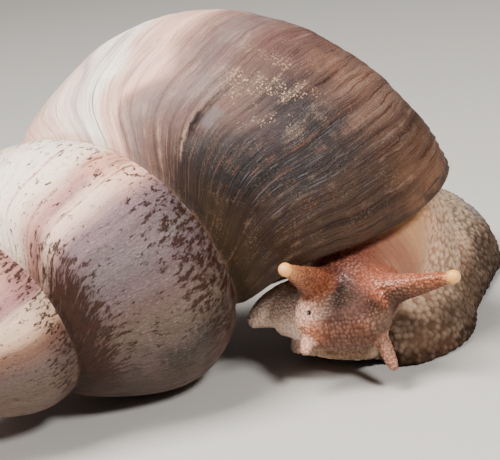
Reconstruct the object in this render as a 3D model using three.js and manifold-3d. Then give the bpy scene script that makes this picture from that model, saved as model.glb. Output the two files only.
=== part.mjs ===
// Giant African land snail (Lissachatina fulica), adult, head turned back along its right side.
// Still museum-type model, life size. Units: mm, +Z up, floor at Z = 0.
// The spire points toward -X and droops a little; the body leaves the aperture below the last
// whorl, the foot loops round in front of the shell and the tail lies along its far side.

import * as THREE from "three";
import { mergeVertices } from "three/addons/utils/BufferGeometryUtils.js";
import Module from "manifold-3d";

const wasm = await Module();
wasm.setup();

const TAU = Math.PI * 2;

// ---- frame -------------------------------------------------------------------------------------
const FRAME_ORIGIN = new THREE.Vector3(16.7, 3.15, 0);
const GAP = 0.3;

// ---- shell: a conical spiral of ovate sections, wound to the right -------------------------------
const SHELL_APEX = new THREE.Vector3(-50.0, -0.7, 15.7);
const SPIRE_DROOP = THREE.MathUtils.degToRad(8.2);
const SHELL_ROLL = THREE.MathUtils.degToRad(26.7);
const RING_RADIUS = 13.82;
const RING_RATE = 0.0663;
const SPIRE_DROP = -85.2;
const DROP_RATE = 0.0901;
const SECTION_WIDTH = 18.85;
const SECTION_HEIGHT = 23.9;
const SECTION_RATE = 0.0525;
const SECTION_LEAN = 0.147;
const SECTION_SHOULDER = 0.037;
const SECTION_FLANK = 0.033;
const EARLY_ANGLE = -14.14;
const EARLY_RATE = 0.068;
const LIP_ANGLE = -0.474;
const LIP_RETREAT = 0.45;
const LIP_BASE_RETREAT = 0.35;
const LIP_BASE_RETURN = 0.9;
const LIP_FLARE = 0.9;
const WALL = 1.3;
const RAMP_SLOPE = 0.06;
const WHORL_NAMES = [
  "shell_body_whorl",
  "shell_penultimate_whorl",
  "shell_third_whorl",
  "shell_fourth_whorl",
  "shell_fifth_whorl",
  "shell_sixth_whorl",
];
const WHORL_SEGMENTS = [40, 32, 26, 20, 16, 14];
const WHORL_ARC_POINTS = [15, 9, 8, 7, 6, 5];

// ---- materials ---------------------------------------------------------------------------------
function shellMaterial() {
  return new THREE.MeshStandardMaterial({ name: "shell", color: 0x6b4a38, roughness: 0.45 });
}

function skinMaterial() {
  return new THREE.MeshStandardMaterial({ name: "skin", color: 0x9c6a4a, roughness: 0.35 });
}

function eyeMaterial() {
  return new THREE.MeshStandardMaterial({ name: "eye_tip", color: 0xe8c088, roughness: 0.25 });
}

// ---- solids ------------------------------------------------------------------------------------
function signedVolume(positions, index) {
  let volume = 0;
  const a = new THREE.Vector3();
  const b = new THREE.Vector3();
  const c = new THREE.Vector3();
  for (let i = 0; i < index.length; i += 3) {
    a.fromArray(positions, index[i] * 3);
    b.fromArray(positions, index[i + 1] * 3);
    c.fromArray(positions, index[i + 2] * 3);
    volume += a.dot(b.cross(c)) / 6;
  }
  return volume;
}

// A closed solid through equal rings of points. The end rings are capped flat, in their own plane
// when plane coordinates are given for them and round their middle point otherwise.
function ringSolid(rings, planar = null) {
  const count = rings[0].length;
  const positions = [];
  for (const ring of rings) {
    for (const point of ring) {
      positions.push(point.x, point.y, point.z);
    }
  }
  const index = [];
  for (let i = 0; i + 1 < rings.length; i++) {
    for (let j = 0; j < count; j++) {
      const k = (j + 1) % count;
      const a = i * count + j;
      const b = i * count + k;
      const c = (i + 1) * count + k;
      const d = (i + 1) * count + j;
      index.push(a, b, c, a, c, d);
    }
  }
  for (const end of [0, rings.length - 1]) {
    const triangles = planar
      ? THREE.ShapeUtils.triangulateShape(planar[end === 0 ? 0 : 1], [])
      : fanTriangles(rings[end], positions);
    const turned = planar && THREE.ShapeUtils.isClockWise(planar[end === 0 ? 0 : 1]);
    for (const [p, q, r] of triangles) {
      const ids = [p, q, r].map((id) => (id < count ? end * count + id : id));
      const flip = (end === 0) !== Boolean(turned);
      index.push(...(flip ? [ids[0], ids[2], ids[1]] : ids));
    }
  }
  if (signedVolume(positions, index) < 0) {
    for (let i = 0; i < index.length; i += 3) {
      [index[i + 1], index[i + 2]] = [index[i + 2], index[i + 1]];
    }
  }
  const geometry = new THREE.BufferGeometry();
  geometry.setAttribute("position", new THREE.Float32BufferAttribute(positions, 3));
  geometry.setIndex(index);
  return geometry;
}

function fanTriangles(ring, positions) {
  const middle = new THREE.Vector3();
  ring.forEach((point) => middle.add(point));
  middle.divideScalar(ring.length);
  const id = positions.length / 3;
  positions.push(middle.x, middle.y, middle.z);
  return ring.map((_, j) => [j, (j + 1) % ring.length, id]);
}

function solid(geometry) {
  const clean = geometry.clone();
  clean.deleteAttribute("normal");
  clean.deleteAttribute("uv");
  const merged = mergeVertices(clean, 1e-4);
  const mesh = new wasm.Mesh({
    numProp: 3,
    vertProperties: new Float32Array(merged.attributes.position.array),
    triVerts: new Uint32Array(merged.index.array),
  });
  return new wasm.Manifold(mesh);
}

function geometryOf(manifold) {
  const mesh = manifold.getMesh();
  const geometry = new THREE.BufferGeometry();
  geometry.setAttribute("position", new THREE.Float32BufferAttribute(mesh.vertProperties, 3));
  geometry.setIndex(new THREE.Uint32BufferAttribute(mesh.triVerts, 1));
  return geometry;
}

function floorBlock() {
  const block = new THREE.BoxGeometry(400, 400, 60);
  block.translate(0, 0, -30);
  return solid(block);
}

// ---- shell surface -------------------------------------------------------------------------------
function sectionRadius(t) {
  const lean = t - SECTION_LEAN;
  const oval = 1 / Math.hypot(Math.cos(lean) / SECTION_WIDTH, Math.sin(lean) / SECTION_HEIGHT);
  return oval * (1 - SECTION_SHOULDER * Math.sin(2 * t) - SECTION_FLANK * Math.sin(3 * t));
}

// Middle of the whorl section at a winding angle: distance from the axis, height, size.
function whorl(theta) {
  const late = Math.max(theta, EARLY_ANGLE);
  const early = Math.exp(EARLY_RATE * Math.min(theta - EARLY_ANGLE, 0));
  const drop = SPIRE_DROP * Math.exp(DROP_RATE * late);
  const reach = (drop * DROP_RATE) / EARLY_RATE;
  return {
    ring: RING_RADIUS * Math.exp(RING_RATE * late) * early,
    height: drop - reach + reach * early,
    size: Math.exp(SECTION_RATE * late) * early,
  };
}

// Radius and height of the shell surface at a winding angle and a section angle.
function surfaceAt(theta, t, grow = 0) {
  const w = whorl(theta);
  const r = sectionRadius(t) * w.size + grow;
  return new THREE.Vector2(w.ring + r * Math.cos(t), w.height + r * Math.sin(t));
}

// Section angle of the upper suture, where the whorl meets the one before it.
function upperSuture(theta) {
  const before = whorl(theta - TAU);
  const depth = (t) => {
    const p = surfaceAt(theta, t);
    const x = p.x - before.ring;
    const z = p.y - before.height;
    return Math.hypot(x, z) / (sectionRadius(Math.atan2(z, x)) * before.size) - 1;
  };
  let low = -0.2;
  let high = low + 0.05;
  while (depth(high) > 0) {
    low = high;
    high += 0.05;
  }
  for (let i = 0; i < 30; i++) {
    const mid = (low + high) / 2;
    if (depth(mid) > 0) {
      low = mid;
    } else {
      high = mid;
    }
  }
  return low;
}

// Section angle of the lower suture, where the next whorl covers this one.
function lowerSuture(theta) {
  const p = surfaceAt(theta + TAU, upperSuture(theta + TAU));
  const w = whorl(theta);
  return Math.atan2(p.y - w.height, p.x - w.ring);
}

function innerRadius(height) {
  return 0.35 + 0.018 * Math.abs(height - 8);
}

// Section angle where the whorl reaches the central pillar, on its base or on its top.
function pillarAngle(theta, from, to) {
  let low = from;
  let high = to;
  for (let i = 0; i < 30; i++) {
    const mid = (low + high) / 2;
    const p = surfaceAt(theta, mid);
    if (p.x > innerRadius(p.y)) {
      low = mid;
    } else {
      high = mid;
    }
  }
  return low;
}

// How far a growth line lies behind its start on the suture, from suture (0) to pillar (1).
function growthRetreat(v) {
  const shoulder = LIP_RETREAT * (1 - Math.exp(-Math.pow(v / 0.075, 1.2)));
  const base = LIP_BASE_RETREAT * Math.max(v - 0.3, 0) - LIP_BASE_RETURN * Math.max(v - 0.62, 0);
  return -shoulder - base;
}

function lipFlare(v) {
  return LIP_FLARE * Math.sin(Math.PI * Math.min(Math.max((v - 0.35) / 0.5, 0), 1)) ** 2;
}

const SHELL_FRAME = new THREE.Matrix4();
{
  const droop = SPIRE_DROOP;
  const spire = new THREE.Vector3(-Math.cos(droop), 0, -Math.sin(droop));
  const down = new THREE.Vector3(Math.sin(droop), 0, -Math.cos(droop));
  const across = new THREE.Vector3(0, -Math.sin(SHELL_ROLL), 0);
  const first = across.addScaledVector(down, Math.cos(SHELL_ROLL));
  const second = new THREE.Vector3().crossVectors(spire, first);
  SHELL_FRAME.makeBasis(first, second, spire);
  SHELL_FRAME.setPosition(SHELL_APEX);
}

function shellPoint(p, theta) {
  const point = new THREE.Vector3(p.x * Math.cos(theta), -p.x * Math.sin(theta), p.y);
  return point.applyMatrix4(SHELL_FRAME);
}

function smooth(x) {
  const s = Math.min(Math.max(x, 0), 1);
  return s * s * (3 - 2 * s);
}

// One ring of a whorl: the visible arc, then back along the pillar.
function whorlRing(theta, arcPoints, options) {
  const start = options.apex ? pillarAngle(theta, 0.6, 3.0) : upperSuture(theta);
  const end = options.body ? pillarAngle(theta, -1.2, -3.0) : lowerSuture(theta);
  const weight = options.body ? smooth(1 - (LIP_ANGLE - theta) / 2.4) : 0;
  const ring = [];
  const plane = [];
  for (let j = 0; j < arcPoints; j++) {
    const v = j / (arcPoints - 1);
    const spread = options.body ? v * (0.55 + 0.45 * v) : v;
    const t = start + (end - start) * spread;
    const angle = theta + weight * growthRetreat(spread);
    const p = surfaceAt(angle, t, (options.grow ?? 0) + weight * weight * lipFlare(spread));
    if (j === 0 && !options.apex) {
      p.y -= GAP / 2;
    }
    if (j === arcPoints - 1 && !options.body) {
      p.y += GAP / 2;
    }
    ring.push(shellPoint(p, angle));
    plane.push(p);
  }
  const low = plane[plane.length - 1].y;
  const high = plane[0].y;
  const slope = RAMP_SLOPE * (high - low);
  for (const y of [low + slope, high - slope]) {
    const p = new THREE.Vector2(innerRadius(y) + 0.02, y);
    ring.push(shellPoint(p, theta));
    plane.push(p);
  }
  return { ring, plane };
}

function whorlSolid(from, to, segments, arcPoints, options) {
  const rows = [];
  for (let i = 0; i <= segments; i++) {
    rows.push(whorlRing(from + ((to - from) * i) / segments, arcPoints, options));
  }
  const planes = [from, to].map((t) => whorlRing(t, arcPoints, { ...options, grow: 0 }).plane);
  return ringSolid(rows.map((row) => row.ring), planes);
}


// ---- aperture ------------------------------------------------------------------------------------
// One ring of the opening inside the last whorl: along the inside of its wall, then back along the
// whorl before it.
function openingRing(theta, inset) {
  const from = upperSuture(theta);
  const to = pillarAngle(theta, -1.2, -3.0);
  const before = whorl(theta - TAU);
  const clear = (t) => {
    const p = surfaceAt(theta, t, -WALL - inset);
    const x = p.x - before.ring;
    const z = p.y - before.height;
    const r = sectionRadius(Math.atan2(z, x)) * before.size + 1 + inset;
    return Math.hypot(x, z) > r + 0.2 && p.x > innerRadius(p.y) + 1.6 + inset;
  };
  let start = from;
  while (!clear(start)) {
    start -= 0.01;
  }
  let end = to;
  while (!clear(end)) {
    end += 0.01;
  }
  const ring = [];
  const plane = [];
  const points = 12;
  const angles = [];
  for (let j = 0; j < points; j++) {
    const t = start + ((end - start) * j) / (points - 1);
    const v = (from - t) / (from - to);
    const angle = theta + growthRetreat(v);
    const p = surfaceAt(angle, t, lipFlare(v) - WALL - inset);
    ring.push(shellPoint(p, angle));
    plane.push(surfaceAt(theta, t, -WALL - inset));
  }
  for (const j of [points - 1, 0]) {
    angles.push(Math.atan2(plane[j].y - before.height, plane[j].x - before.ring));
  }
  for (let j = 1; j < 8; j++) {
    const t = angles[0] + ((angles[1] - angles[0]) * j) / 8;
    const angle = theta + growthRetreat((from - t) / (from - to));
    const p = surfaceAt(angle - TAU, t, 1 + inset);
    ring.push(shellPoint(p, angle));
    plane.push(surfaceAt(theta - TAU, t, 1 + inset));
  }
  return { ring, plane };
}

function openingSolid(from, to, rows, inset) {
  const made = [];
  for (let i = 0; i <= rows; i++) {
    made.push(openingRing(from + ((to - from) * i) / rows, inset));
  }
  return solid(ringSolid(made.map((row) => row.ring), [made[0].plane, made[rows].plane]));
}

// ---- flesh ---------------------------------------------------------------------------------------
// Smooth course through stations, each a list of equal length whose first three numbers are a place.
function courseAt(stations, s) {
  const last = stations.length - 1;
  const i = Math.min(Math.floor(s), last - 1);
  const u = s - i;
  const at = (k) => stations[Math.min(Math.max(k, 0), last)];
  return stations[0].map((_, n) => {
    const [a, b, c, d] = [at(i - 1)[n], at(i)[n], at(i + 1)[n], at(i + 2)[n]];
    const bend = 2 * b + (c - a) * u + (2 * a - 5 * b + 4 * c - d) * u * u;
    return 0.5 * (bend + (3 * b - a - 3 * c + d) * u * u * u);
  });
}

function courseTangent(stations, s) {
  const e = 0.02;
  const last = stations.length - 1;
  const a = courseAt(stations, Math.max(s - e, 0));
  const b = courseAt(stations, Math.min(s + e, last));
  return new THREE.Vector3(b[0] - a[0], b[1] - a[1], b[2] - a[2]).normalize();
}

// Stations [x, y, z, half width, rise, fall]; the width lies level, or along "across".
function roundRing(stations, s, sides, grow, across) {
  const [x, y, z, width, rise, fall] = courseAt(stations, s);
  const along = courseTangent(stations, s);
  const side = across
    ? across.clone().addScaledVector(along, -across.dot(along)).normalize()
    : new THREE.Vector3(along.y, -along.x, 0).normalize();
  const up = new THREE.Vector3().crossVectors(side, along);
  const ring = [];
  for (let j = 0; j < sides; j++) {
    const a = (TAU * j) / sides;
    const reach = Math.sin(a) > 0 ? rise : fall;
    const point = new THREE.Vector3(x, y, z);
    point.addScaledVector(side, (width + grow) * Math.cos(a));
    point.addScaledVector(up, (reach + grow) * Math.sin(a));
    ring.push(point);
  }
  return ring;
}

function roundLength(stations, from, to, rows, sides, grow = 0, across = null) {
  const rings = [];
  for (let i = 0; i <= rows; i++) {
    rings.push(roundRing(stations, from + ((to - from) * i) / rows, sides, grow, across));
  }
  return solid(ringSolid(rings));
}

// Half outline of the foot in cross-section, from the edge of the sole to the back.
const FOOT_OUTLINE = [
  [1, 0],
  [1, 0.1],
  [0.95, 0.3],
  [0.84, 0.58],
  [0.62, 0.84],
  [0.32, 0.97],
];

// Stations [x, y, z of the sole, half width right of the middle and left of it, height].
const FOOT_STATIONS = [
  [19.5, -21, 3.4, 3, 3, 3],
  [22.5, -20.5, 2.4, 6.5, 6.5, 7],
  [28.5, -19.5, 0.8, 8.5, 8.5, 10],
  [32.5, -19.5, 0, 12.8, 8.5, 12],
  [38, -17, 0, 14.3, 8, 13],
  [47, -10.5, 0, 13.6, 10.5, 13.5],
  [58, -2.5, 0, 14.3, 13, 13],
  [69.5, 5.5, 0, 14, 12, 12],
  [75.5, 18, 0, 12.8, 11, 11.5],
  [68.5, 31, 0, 14, 11.5, 11],
  [51, 35, 0, 15, 14, 10.5],
  [32, 35.5, 0, 14, 14, 9.5],
  [12, 35, 0, 12, 12, 7.5],
  [-7, 34.5, 0, 9, 9, 5.5],
  [-23, 35, 0, 5.2, 5.2, 3.4],
  [-35, 36.5, 0, 1.3, 1.3, 1.4],
];

function footRing(s, grow) {
  const [x, y, z, right, left, height] = courseAt(FOOT_STATIONS, s);
  const along = courseTangent(FOOT_STATIONS, s);
  const side = new THREE.Vector3(along.y, -along.x, 0).normalize();
  const sole = Math.abs(z) < 0.15 ? 0 : z;
  const ring = [];
  const place = (u, h) => {
    const lift = h * height + (h > 0 ? grow : -grow);
    const point = new THREE.Vector3(x, y, Math.max(sole, 0) + lift);
    ring.push(point.addScaledVector(side, u * (u > 0 ? right : left) + Math.sign(u) * grow));
  };
  FOOT_OUTLINE.forEach(([u, h]) => place(u, h));
  place(0, 1);
  [...FOOT_OUTLINE].reverse().forEach(([u, h]) => place(-u, h));
  place(0, 0);
  return ring;
}

function footLength(from, to, rows, grow = 0) {
  const rings = [];
  for (let i = 0; i <= rows; i++) {
    rings.push(footRing(from + ((to - from) * i) / rows, grow));
  }
  return solid(ringSolid(rings));
}

// Where the foot is divided, in stations, and the rows of each length.
const FOOT_LENGTHS = [
  ["foot_front", 0, 2.6, 5],
  ["foot_fore_margin", 2.6, 4.5, 4],
  ["foot_bend_fore", 4.5, 6, 3],
  ["foot_bend", 6, 7.4, 3],
  ["foot_bend_rear", 7.4, 8.8, 3],
  ["foot_rear", 8.8, 10.4, 3],
  ["foot_hind", 10.4, 12, 3],
  ["tail", 12, 13.6, 3],
  ["tail_tip", 13.6, 15, 3],
];

const TRUNK_STATIONS = [
  [42.5, -13.5, 4, 15, 11, 11],
  [41.5, -14.5, 11, 14.5, 10.5, 11],
  [37.5, -16, 17, 13.5, 10, 10.5],
  [33, -17.5, 23, 13, 9.5, 9.5],
  [31, -18.5, 29, 12, 9, 8.5],
];

const HEAD_STATIONS = [
  [40.5, -18.5, 19.5, 7.5, 7, 8],
  [35.5, -21, 16.6, 7.6, 6.8, 8.4],
  [30, -23.2, 14.3, 7.6, 6.4, 7.8],
  [25.8, -24.8, 13, 7.6, 6, 7],
  [22.6, -26.5, 12.2, 7.3, 5.6, 6.8],
  [20, -28.6, 11.4, 7.2, 4.4, 6.5],
  [18.2, -30.2, 10.4, 6.8, 3.1, 5.5],
  [17.1, -31.3, 9.6, 5, 1.9, 3.9],
  [16.5, -31.8, 9.3, 2, 0.8, 1.5],
];

const HEAD_LENGTHS = [
  ["neck", 0, 3, 6],
  ["head", 3, 5, 5],
  ["muzzle", 5, 8, 6],
];

const LOBE_STATIONS = [
  [28, -19, 8.5, 5, 5.5, 5.5],
  [22.5, -15.5, 9.6, 4.5, 4.2, 4],
  [18.5, -13, 9, 3, 2.8, 2.2],
  [16, -11.4, 7.9, 1.2, 0.8, 0.8],
];

// Feelers: stations from inside the head to the tip, and the radius of each eye.
const EYE_RADIUS = 1;
const UPPER_RIGHT_STATIONS = [
  [22, -23.6, 13.6, 2.9, 2.9, 2.9],
  [18.6, -25.2, 15.6, 2.3, 2.3, 2.3],
  [14.2, -27.3, 18.1, 1.5, 1.5, 1.5],
  [10, -29.3, 20.5, 0.9, 0.9, 0.9],
  [8.7, -29.9, 21.2, 0.9, 0.9, 0.9],
];
const UPPER_LEFT_STATIONS = [
  [23.6, -27, 12.9, 3, 3, 3],
  [25.2, -31.2, 13.5, 2.5, 2.5, 2.5],
  [26.8, -35.8, 14.5, 1.6, 1.6, 1.6],
  [28.5, -40.8, 15.8, 0.9, 0.9, 0.9],
  [29, -42.3, 16.2, 0.9, 0.9, 0.9],
];
const LOWER_RIGHT_STATIONS = [
  [19, -25.5, 11, 1.9, 1.9, 1.9],
  [15.5, -26.2, 9.8, 1.2, 1.2, 1.2],
  [13.2, -27, 7.6, 0.85, 0.85, 0.85],
  [12.6, -27.2, 6.9, 0.5, 0.5, 0.5],
];
const LOWER_LEFT_STATIONS = [
  [22, -30, 9.6, 2.2, 2.2, 2.2],
  [22.3, -33, 7.6, 1.3, 1.3, 1.3],
  [21.5, -35.8, 4.6, 0.9, 0.9, 0.9],
  [21.2, -36.7, 3.5, 0.5, 0.5, 0.5],
];

// ---- assembly ------------------------------------------------------------------------------------
const group = new THREE.Group();

function addNode(name, manifold, material) {
  const parts = manifold.decompose();
  parts.sort((a, b) => b.volume() - a.volume());
  const mesh = new THREE.Mesh(geometryOf(parts[0]), material);
  mesh.geometry.translate(-FRAME_ORIGIN.x, -FRAME_ORIGIN.y, -FRAME_ORIGIN.z);
  mesh.name = name;
  group.add(mesh);
}

// One whole turn of the shell, the number counted from the mouth.
function turnSolid(n) {
  const to = LIP_ANGLE - TAU * n;
  const half = 0.012;
  const options = { body: n === 0 };
  const segments = WHORL_SEGMENTS[n];
  return solid(whorlSolid(to - TAU + half, to - half, segments, WHORL_ARC_POINTS[n], options));
}

function mouth(inset) {
  return openingSolid(LIP_ANGLE - 0.4, LIP_ANGLE + 0.3, 14, inset);
}

function makeShell() {
  const material = shellMaterial();
  const floor = floorBlock();
  WHORL_NAMES.forEach((name, n) => {
    const made = turnSolid(n).subtract(floor);
    addNode(name, n === 0 ? made.subtract(mouth(0)) : made, material);
  });
  const to = LIP_ANGLE - TAU * 6;
  addNode("shell_apex", solid(whorlSolid(to - TAU, to - 0.012, 12, 5, { apex: true })), material);
}

// The lower whorls with the clearance round them, for trimming the flesh.
function shellClearance() {
  const grown = (n, options) => {
    const to = LIP_ANGLE - TAU * n + (n === 0 ? 0.02 : 0);
    const settings = { ...options, grow: GAP };
    return solid(whorlSolid(to - TAU, to, WHORL_SEGMENTS[n], WHORL_ARC_POINTS[n], settings));
  };
  const last = grown(0, { body: true }).subtract(mouth(GAP + 0.1));
  return last.add(grown(1, {})).add(grown(2, {})).add(turnSolid(0).subtract(mouth(0)));
}

// Each length of the foot below the trunk, with the clearance round it.
function footClearance() {
  const near = FOOT_LENGTHS.filter(([, from]) => from < 6);
  const lengths = near.map(([, from, to, rows]) => footLength(from, to, rows, GAP));
  return lengths.reduce((sum, length) => sum.add(length));
}

function makeFlesh() {
  const material = skinMaterial();
  const floor = floorBlock();
  const shell = shellClearance();
  const last = FOOT_STATIONS.length - 1;
  for (const [name, from, to, rows] of FOOT_LENGTHS) {
    const margin = 0.012;
    const length = footLength(from + (from > 0 ? margin : 0), to - (to < last ? margin : 0), rows);
    addNode(name, length.subtract(shell).subtract(floor), material);
  }
  const foot = footClearance();
  const across = new THREE.Vector3(1, 0.15, 0);
  const trunk = (grow) => roundLength(TRUNK_STATIONS, 0, 4, 8, 18, grow, across);
  addNode("trunk", trunk(0).subtract(shell).subtract(foot), material);
  const trunkRoom = trunk(GAP);
  const headLength = (from, to, rows, grow = 0) =>
    roundLength(HEAD_STATIONS, from, to, rows, 18, grow);
  const trim = (made) => made.subtract(shell).subtract(foot).subtract(trunkRoom);
  const ends = HEAD_STATIONS.length - 1;
  let headRoom = null;
  for (const [name, from, to, rows] of HEAD_LENGTHS) {
    const start = from + (from > 0 ? 0.02 : 0);
    const end = to - (to < ends ? 0.02 : 0);
    addNode(name, trim(headLength(start, end, rows)), material);
    const room = headLength(start, end, rows, GAP);
    headRoom = headRoom ? headRoom.add(room) : room;
  }
  const lobe = roundLength(LOBE_STATIONS, 0, 3, 6, 14);
  addNode("foot_front_lobe", trim(lobe).subtract(headRoom), material);
  const collar = openingSolid(LIP_ANGLE - 0.35, LIP_ANGLE - 0.05, 6, GAP);
  addNode("mantle_collar", collar.subtract(trunkRoom).subtract(headRoom), material);
  const feelers = [
    ["upper_tentacle_right", UPPER_RIGHT_STATIONS, true],
    ["upper_tentacle_left", UPPER_LEFT_STATIONS, true],
    ["lower_tentacle_right", LOWER_RIGHT_STATIONS, false],
    ["lower_tentacle_left", LOWER_LEFT_STATIONS, false],
  ];
  const eye = eyeMaterial();
  for (const [name, stations, seeing] of feelers) {
    const tip = new THREE.Vector3(...stations[stations.length - 1]);
    const ball = (radius) => {
      const sphere = new THREE.SphereGeometry(radius, 12, 8);
      sphere.translate(tip.x, tip.y, tip.z);
      return solid(sphere);
    };
    let made = roundLength(stations, 0, stations.length - 1, 8, 12);
    made = made.subtract(headRoom).subtract(shell);
    addNode(name, seeing ? made.subtract(ball(EYE_RADIUS + GAP)) : made, material);
    if (seeing) {
      addNode(name.replace("upper_tentacle", "eye"), ball(EYE_RADIUS), eye);
    }
  }
}

makeShell();
makeFlesh();

export default group;
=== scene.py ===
import math
from types import SimpleNamespace

import bmesh
import bpy
import numpy as np
from mathutils import Matrix, Vector


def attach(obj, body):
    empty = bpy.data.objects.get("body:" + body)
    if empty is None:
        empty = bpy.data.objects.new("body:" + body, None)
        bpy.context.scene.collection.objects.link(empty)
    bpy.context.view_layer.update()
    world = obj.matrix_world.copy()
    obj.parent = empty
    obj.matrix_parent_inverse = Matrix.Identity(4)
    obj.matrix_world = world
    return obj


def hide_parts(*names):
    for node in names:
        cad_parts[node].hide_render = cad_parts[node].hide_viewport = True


bl_info = {
    "name": "Giant land snail",
    "version": (1, 0, 0),
    "blender": (4, 5, 0),
    "location": "View3D > Sidebar > Snail",
    "description": "Shell, skin and eye tips of a giant land snail model",
    "category": "Add Mesh",
}

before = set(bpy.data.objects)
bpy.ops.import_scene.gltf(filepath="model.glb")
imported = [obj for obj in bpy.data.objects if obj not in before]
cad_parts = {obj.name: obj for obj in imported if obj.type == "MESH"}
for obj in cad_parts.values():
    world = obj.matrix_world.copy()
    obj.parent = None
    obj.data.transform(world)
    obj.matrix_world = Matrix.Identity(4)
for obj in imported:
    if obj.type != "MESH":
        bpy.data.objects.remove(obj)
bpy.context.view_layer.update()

MM = 0.001
TAU = 2 * math.pi
ORIGIN = np.array([16.7, 3.15, 0.0])  # the frame's, in the millimetres of the tables below
WELD = 0.004  # gap in millimetres that joined points may have


def tone(red, green, blue):
    """An 8-bit display colour as linear red, green, blue and alpha."""
    linear = []
    for channel in (red, green, blue):
        c = channel / 255
        linear.append(c / 12.92 if c <= 0.04045 else ((c + 0.055) / 1.055) ** 2.4)
    return (*linear, 1.0)


def smooth(x):
    """0 below 0, 1 above 1 and an even S between."""
    s = np.clip(x, 0, 1)
    return s * s * (3 - 2 * s)


# ---- node trees ----------------------------------------------------------------------------------
class Wire:
    """An output socket; arithmetic on it adds Math nodes to its tree."""

    def __init__(self, graph, socket):
        self.graph = graph
        self.socket = socket

    def __add__(self, other):
        return self.graph.math("ADD", self, other)

    def __radd__(self, other):
        return self.graph.math("ADD", other, self)

    def __sub__(self, other):
        return self.graph.math("SUBTRACT", self, other)

    def __rsub__(self, other):
        return self.graph.math("SUBTRACT", other, self)

    def __mul__(self, other):
        return self.graph.math("MULTIPLY", self, other)

    def __rmul__(self, other):
        return self.graph.math("MULTIPLY", other, self)

    def __abs__(self):
        return self.graph.math("ABSOLUTE", self)

    def or_more(self, other):
        """The larger of the two values."""
        return self.graph.math("MAXIMUM", self, other)

    def limited(self):
        """The value kept between 0 and 1."""
        return self.graph.math("MINIMUM", self.or_more(0.0), 1.0)


class Graph:
    """A material's or a Geometry Nodes tree, built node by node."""

    def __init__(self, tree):
        self.tree = tree

    def node(self, kind, settings=None, inputs=None):
        """A new node: its settings first, then the values or links of its sockets."""
        made = self.tree.nodes.new(kind)
        for name, value in (settings or {}).items():
            if name == "stops":
                set_stops(made.color_ramp.elements, value)
            else:
                setattr(made, name, value)
        for key, value in (inputs or {}).items():
            if isinstance(value, Wire):
                self.tree.links.new(value.socket, made.inputs[key])
            else:
                made.inputs[key].default_value = value
        return [Wire(self, socket) for socket in made.outputs]

    def math(self, operation, *values):
        return self.node("ShaderNodeMath", {"operation": operation}, dict(enumerate(values)))[0]

    def vector_math(self, operation, first, key, second):
        return self.node("ShaderNodeVectorMath", {"operation": operation}, {0: first, key: second})

    def scaled(self, vector, factor):
        return self.vector_math("SCALE", vector, "Scale", factor)[0]

    def added(self, first, second):
        return self.vector_math("ADD", first, 1, second)[0]

    def dot(self, vector, direction):
        return self.vector_math("DOT_PRODUCT", vector, 1, direction)[1]

    def vector(self, x, y, z=0.0):
        return self.node("ShaderNodeCombineXYZ", None, {0: x, 1: y, 2: z})[0]

    def split(self, vector):
        return self.node("ShaderNodeSeparateXYZ", None, {0: vector})

    def place(self):
        """Object coordinates."""
        return self.node("ShaderNodeTexCoord")[3]

    def attribute(self, name):
        """Outputs of a named attribute: 0 its colour, 2 its value."""
        return self.node("ShaderNodeAttribute", {"attribute_name": name})

    def step(self, value, low, high):
        """0 below low, 1 above high and smooth between; low may be above high."""
        if low > high:
            return 1 - self.step(value, high, low)
        inputs = {"Value": value, "From Min": low, "From Max": high}
        return self.node("ShaderNodeMapRange", {"interpolation_type": "SMOOTHSTEP"}, inputs)[0]

    def band(self, value, centre, width):
        """1 at the centre, falling to 0 at the width on both sides."""
        return self.step(abs(value - centre), width, 0.0)

    def noise(self, vector, scale=1.0, detail=2.0, roughness=0.5):
        inputs = {"Vector": vector, "Scale": scale, "Detail": detail, "Roughness": roughness}
        return self.node("ShaderNodeTexNoise", None, inputs)

    def domes(self, vector, scale, randomness):
        """Close-set round tops, 1 in the middle of each and 0 where they meet."""
        inputs = {"Vector": vector, "Scale": scale, "Randomness": randomness}
        distance = self.node("ShaderNodeTexVoronoi", {"feature": "F1"}, inputs)[0]
        return 1 - (distance * distance * 2.1).limited()

    def mix(self, factor, first, second, blend="MIX"):
        settings = {"data_type": "RGBA", "blend_type": blend}
        return self.node("ShaderNodeMix", settings, {0: factor, 6: first, 7: second})[2]

    def ramp(self, value, stops):
        """A colour ramp through rows of place, red, green and blue."""
        stops = [(place, tone(*channels)) for place, *channels in stops]
        return self.node("ShaderNodeValToRGB", {"stops": stops}, {0: value})[0]


def set_stops(elements, stops):
    """Gives a colour ramp its (place, colour) stops."""
    while len(elements) > 1:
        elements.remove(elements[-1])
    elements[0].position, elements[0].color = stops[0]
    for place, colour in stops[1:]:
        elements.new(place).color = colour


class Paint:
    """A colour that tints are laid over, one after another."""

    def __init__(self, graph, colour):
        self.graph = graph
        self.colour = colour

    def lay(self, share, red, green, blue):
        self.colour = self.graph.mix(share, self.colour, tone(red, green, blue))

    def darken(self, share, red, green, blue):
        """Multiplies the three channels where the share is 1."""
        self.colour = self.graph.mix(share, self.colour, (red, green, blue, 1), "MULTIPLY")


def new_material(name):
    """An empty material and its tree."""
    material = bpy.data.materials.new(name)
    material.use_nodes = True
    material.node_tree.nodes.clear()
    return material, Graph(material.node_tree)


def finish_material(graph, constants, varying):
    """Ends a material in one Principled shader; constants are set on its own sockets."""
    shader = graph.node("ShaderNodeBsdfPrincipled", None, {**constants, **varying})[0]
    graph.node("ShaderNodeOutputMaterial", None, {"Surface": shader})


def bump(graph, height, distance, strength=0.8):
    """A normal from a height map; the distance is in metres."""
    inputs = {"Height": height, "Distance": distance, "Strength": strength}
    return graph.node("ShaderNodeBump", None, inputs)[0]


# ---- meshes --------------------------------------------------------------------------------------
def link(name, data):
    """A new object of the scene, at the origin."""
    made = bpy.data.objects.new(name, data)
    bpy.context.scene.collection.objects.link(made)
    return made


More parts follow.
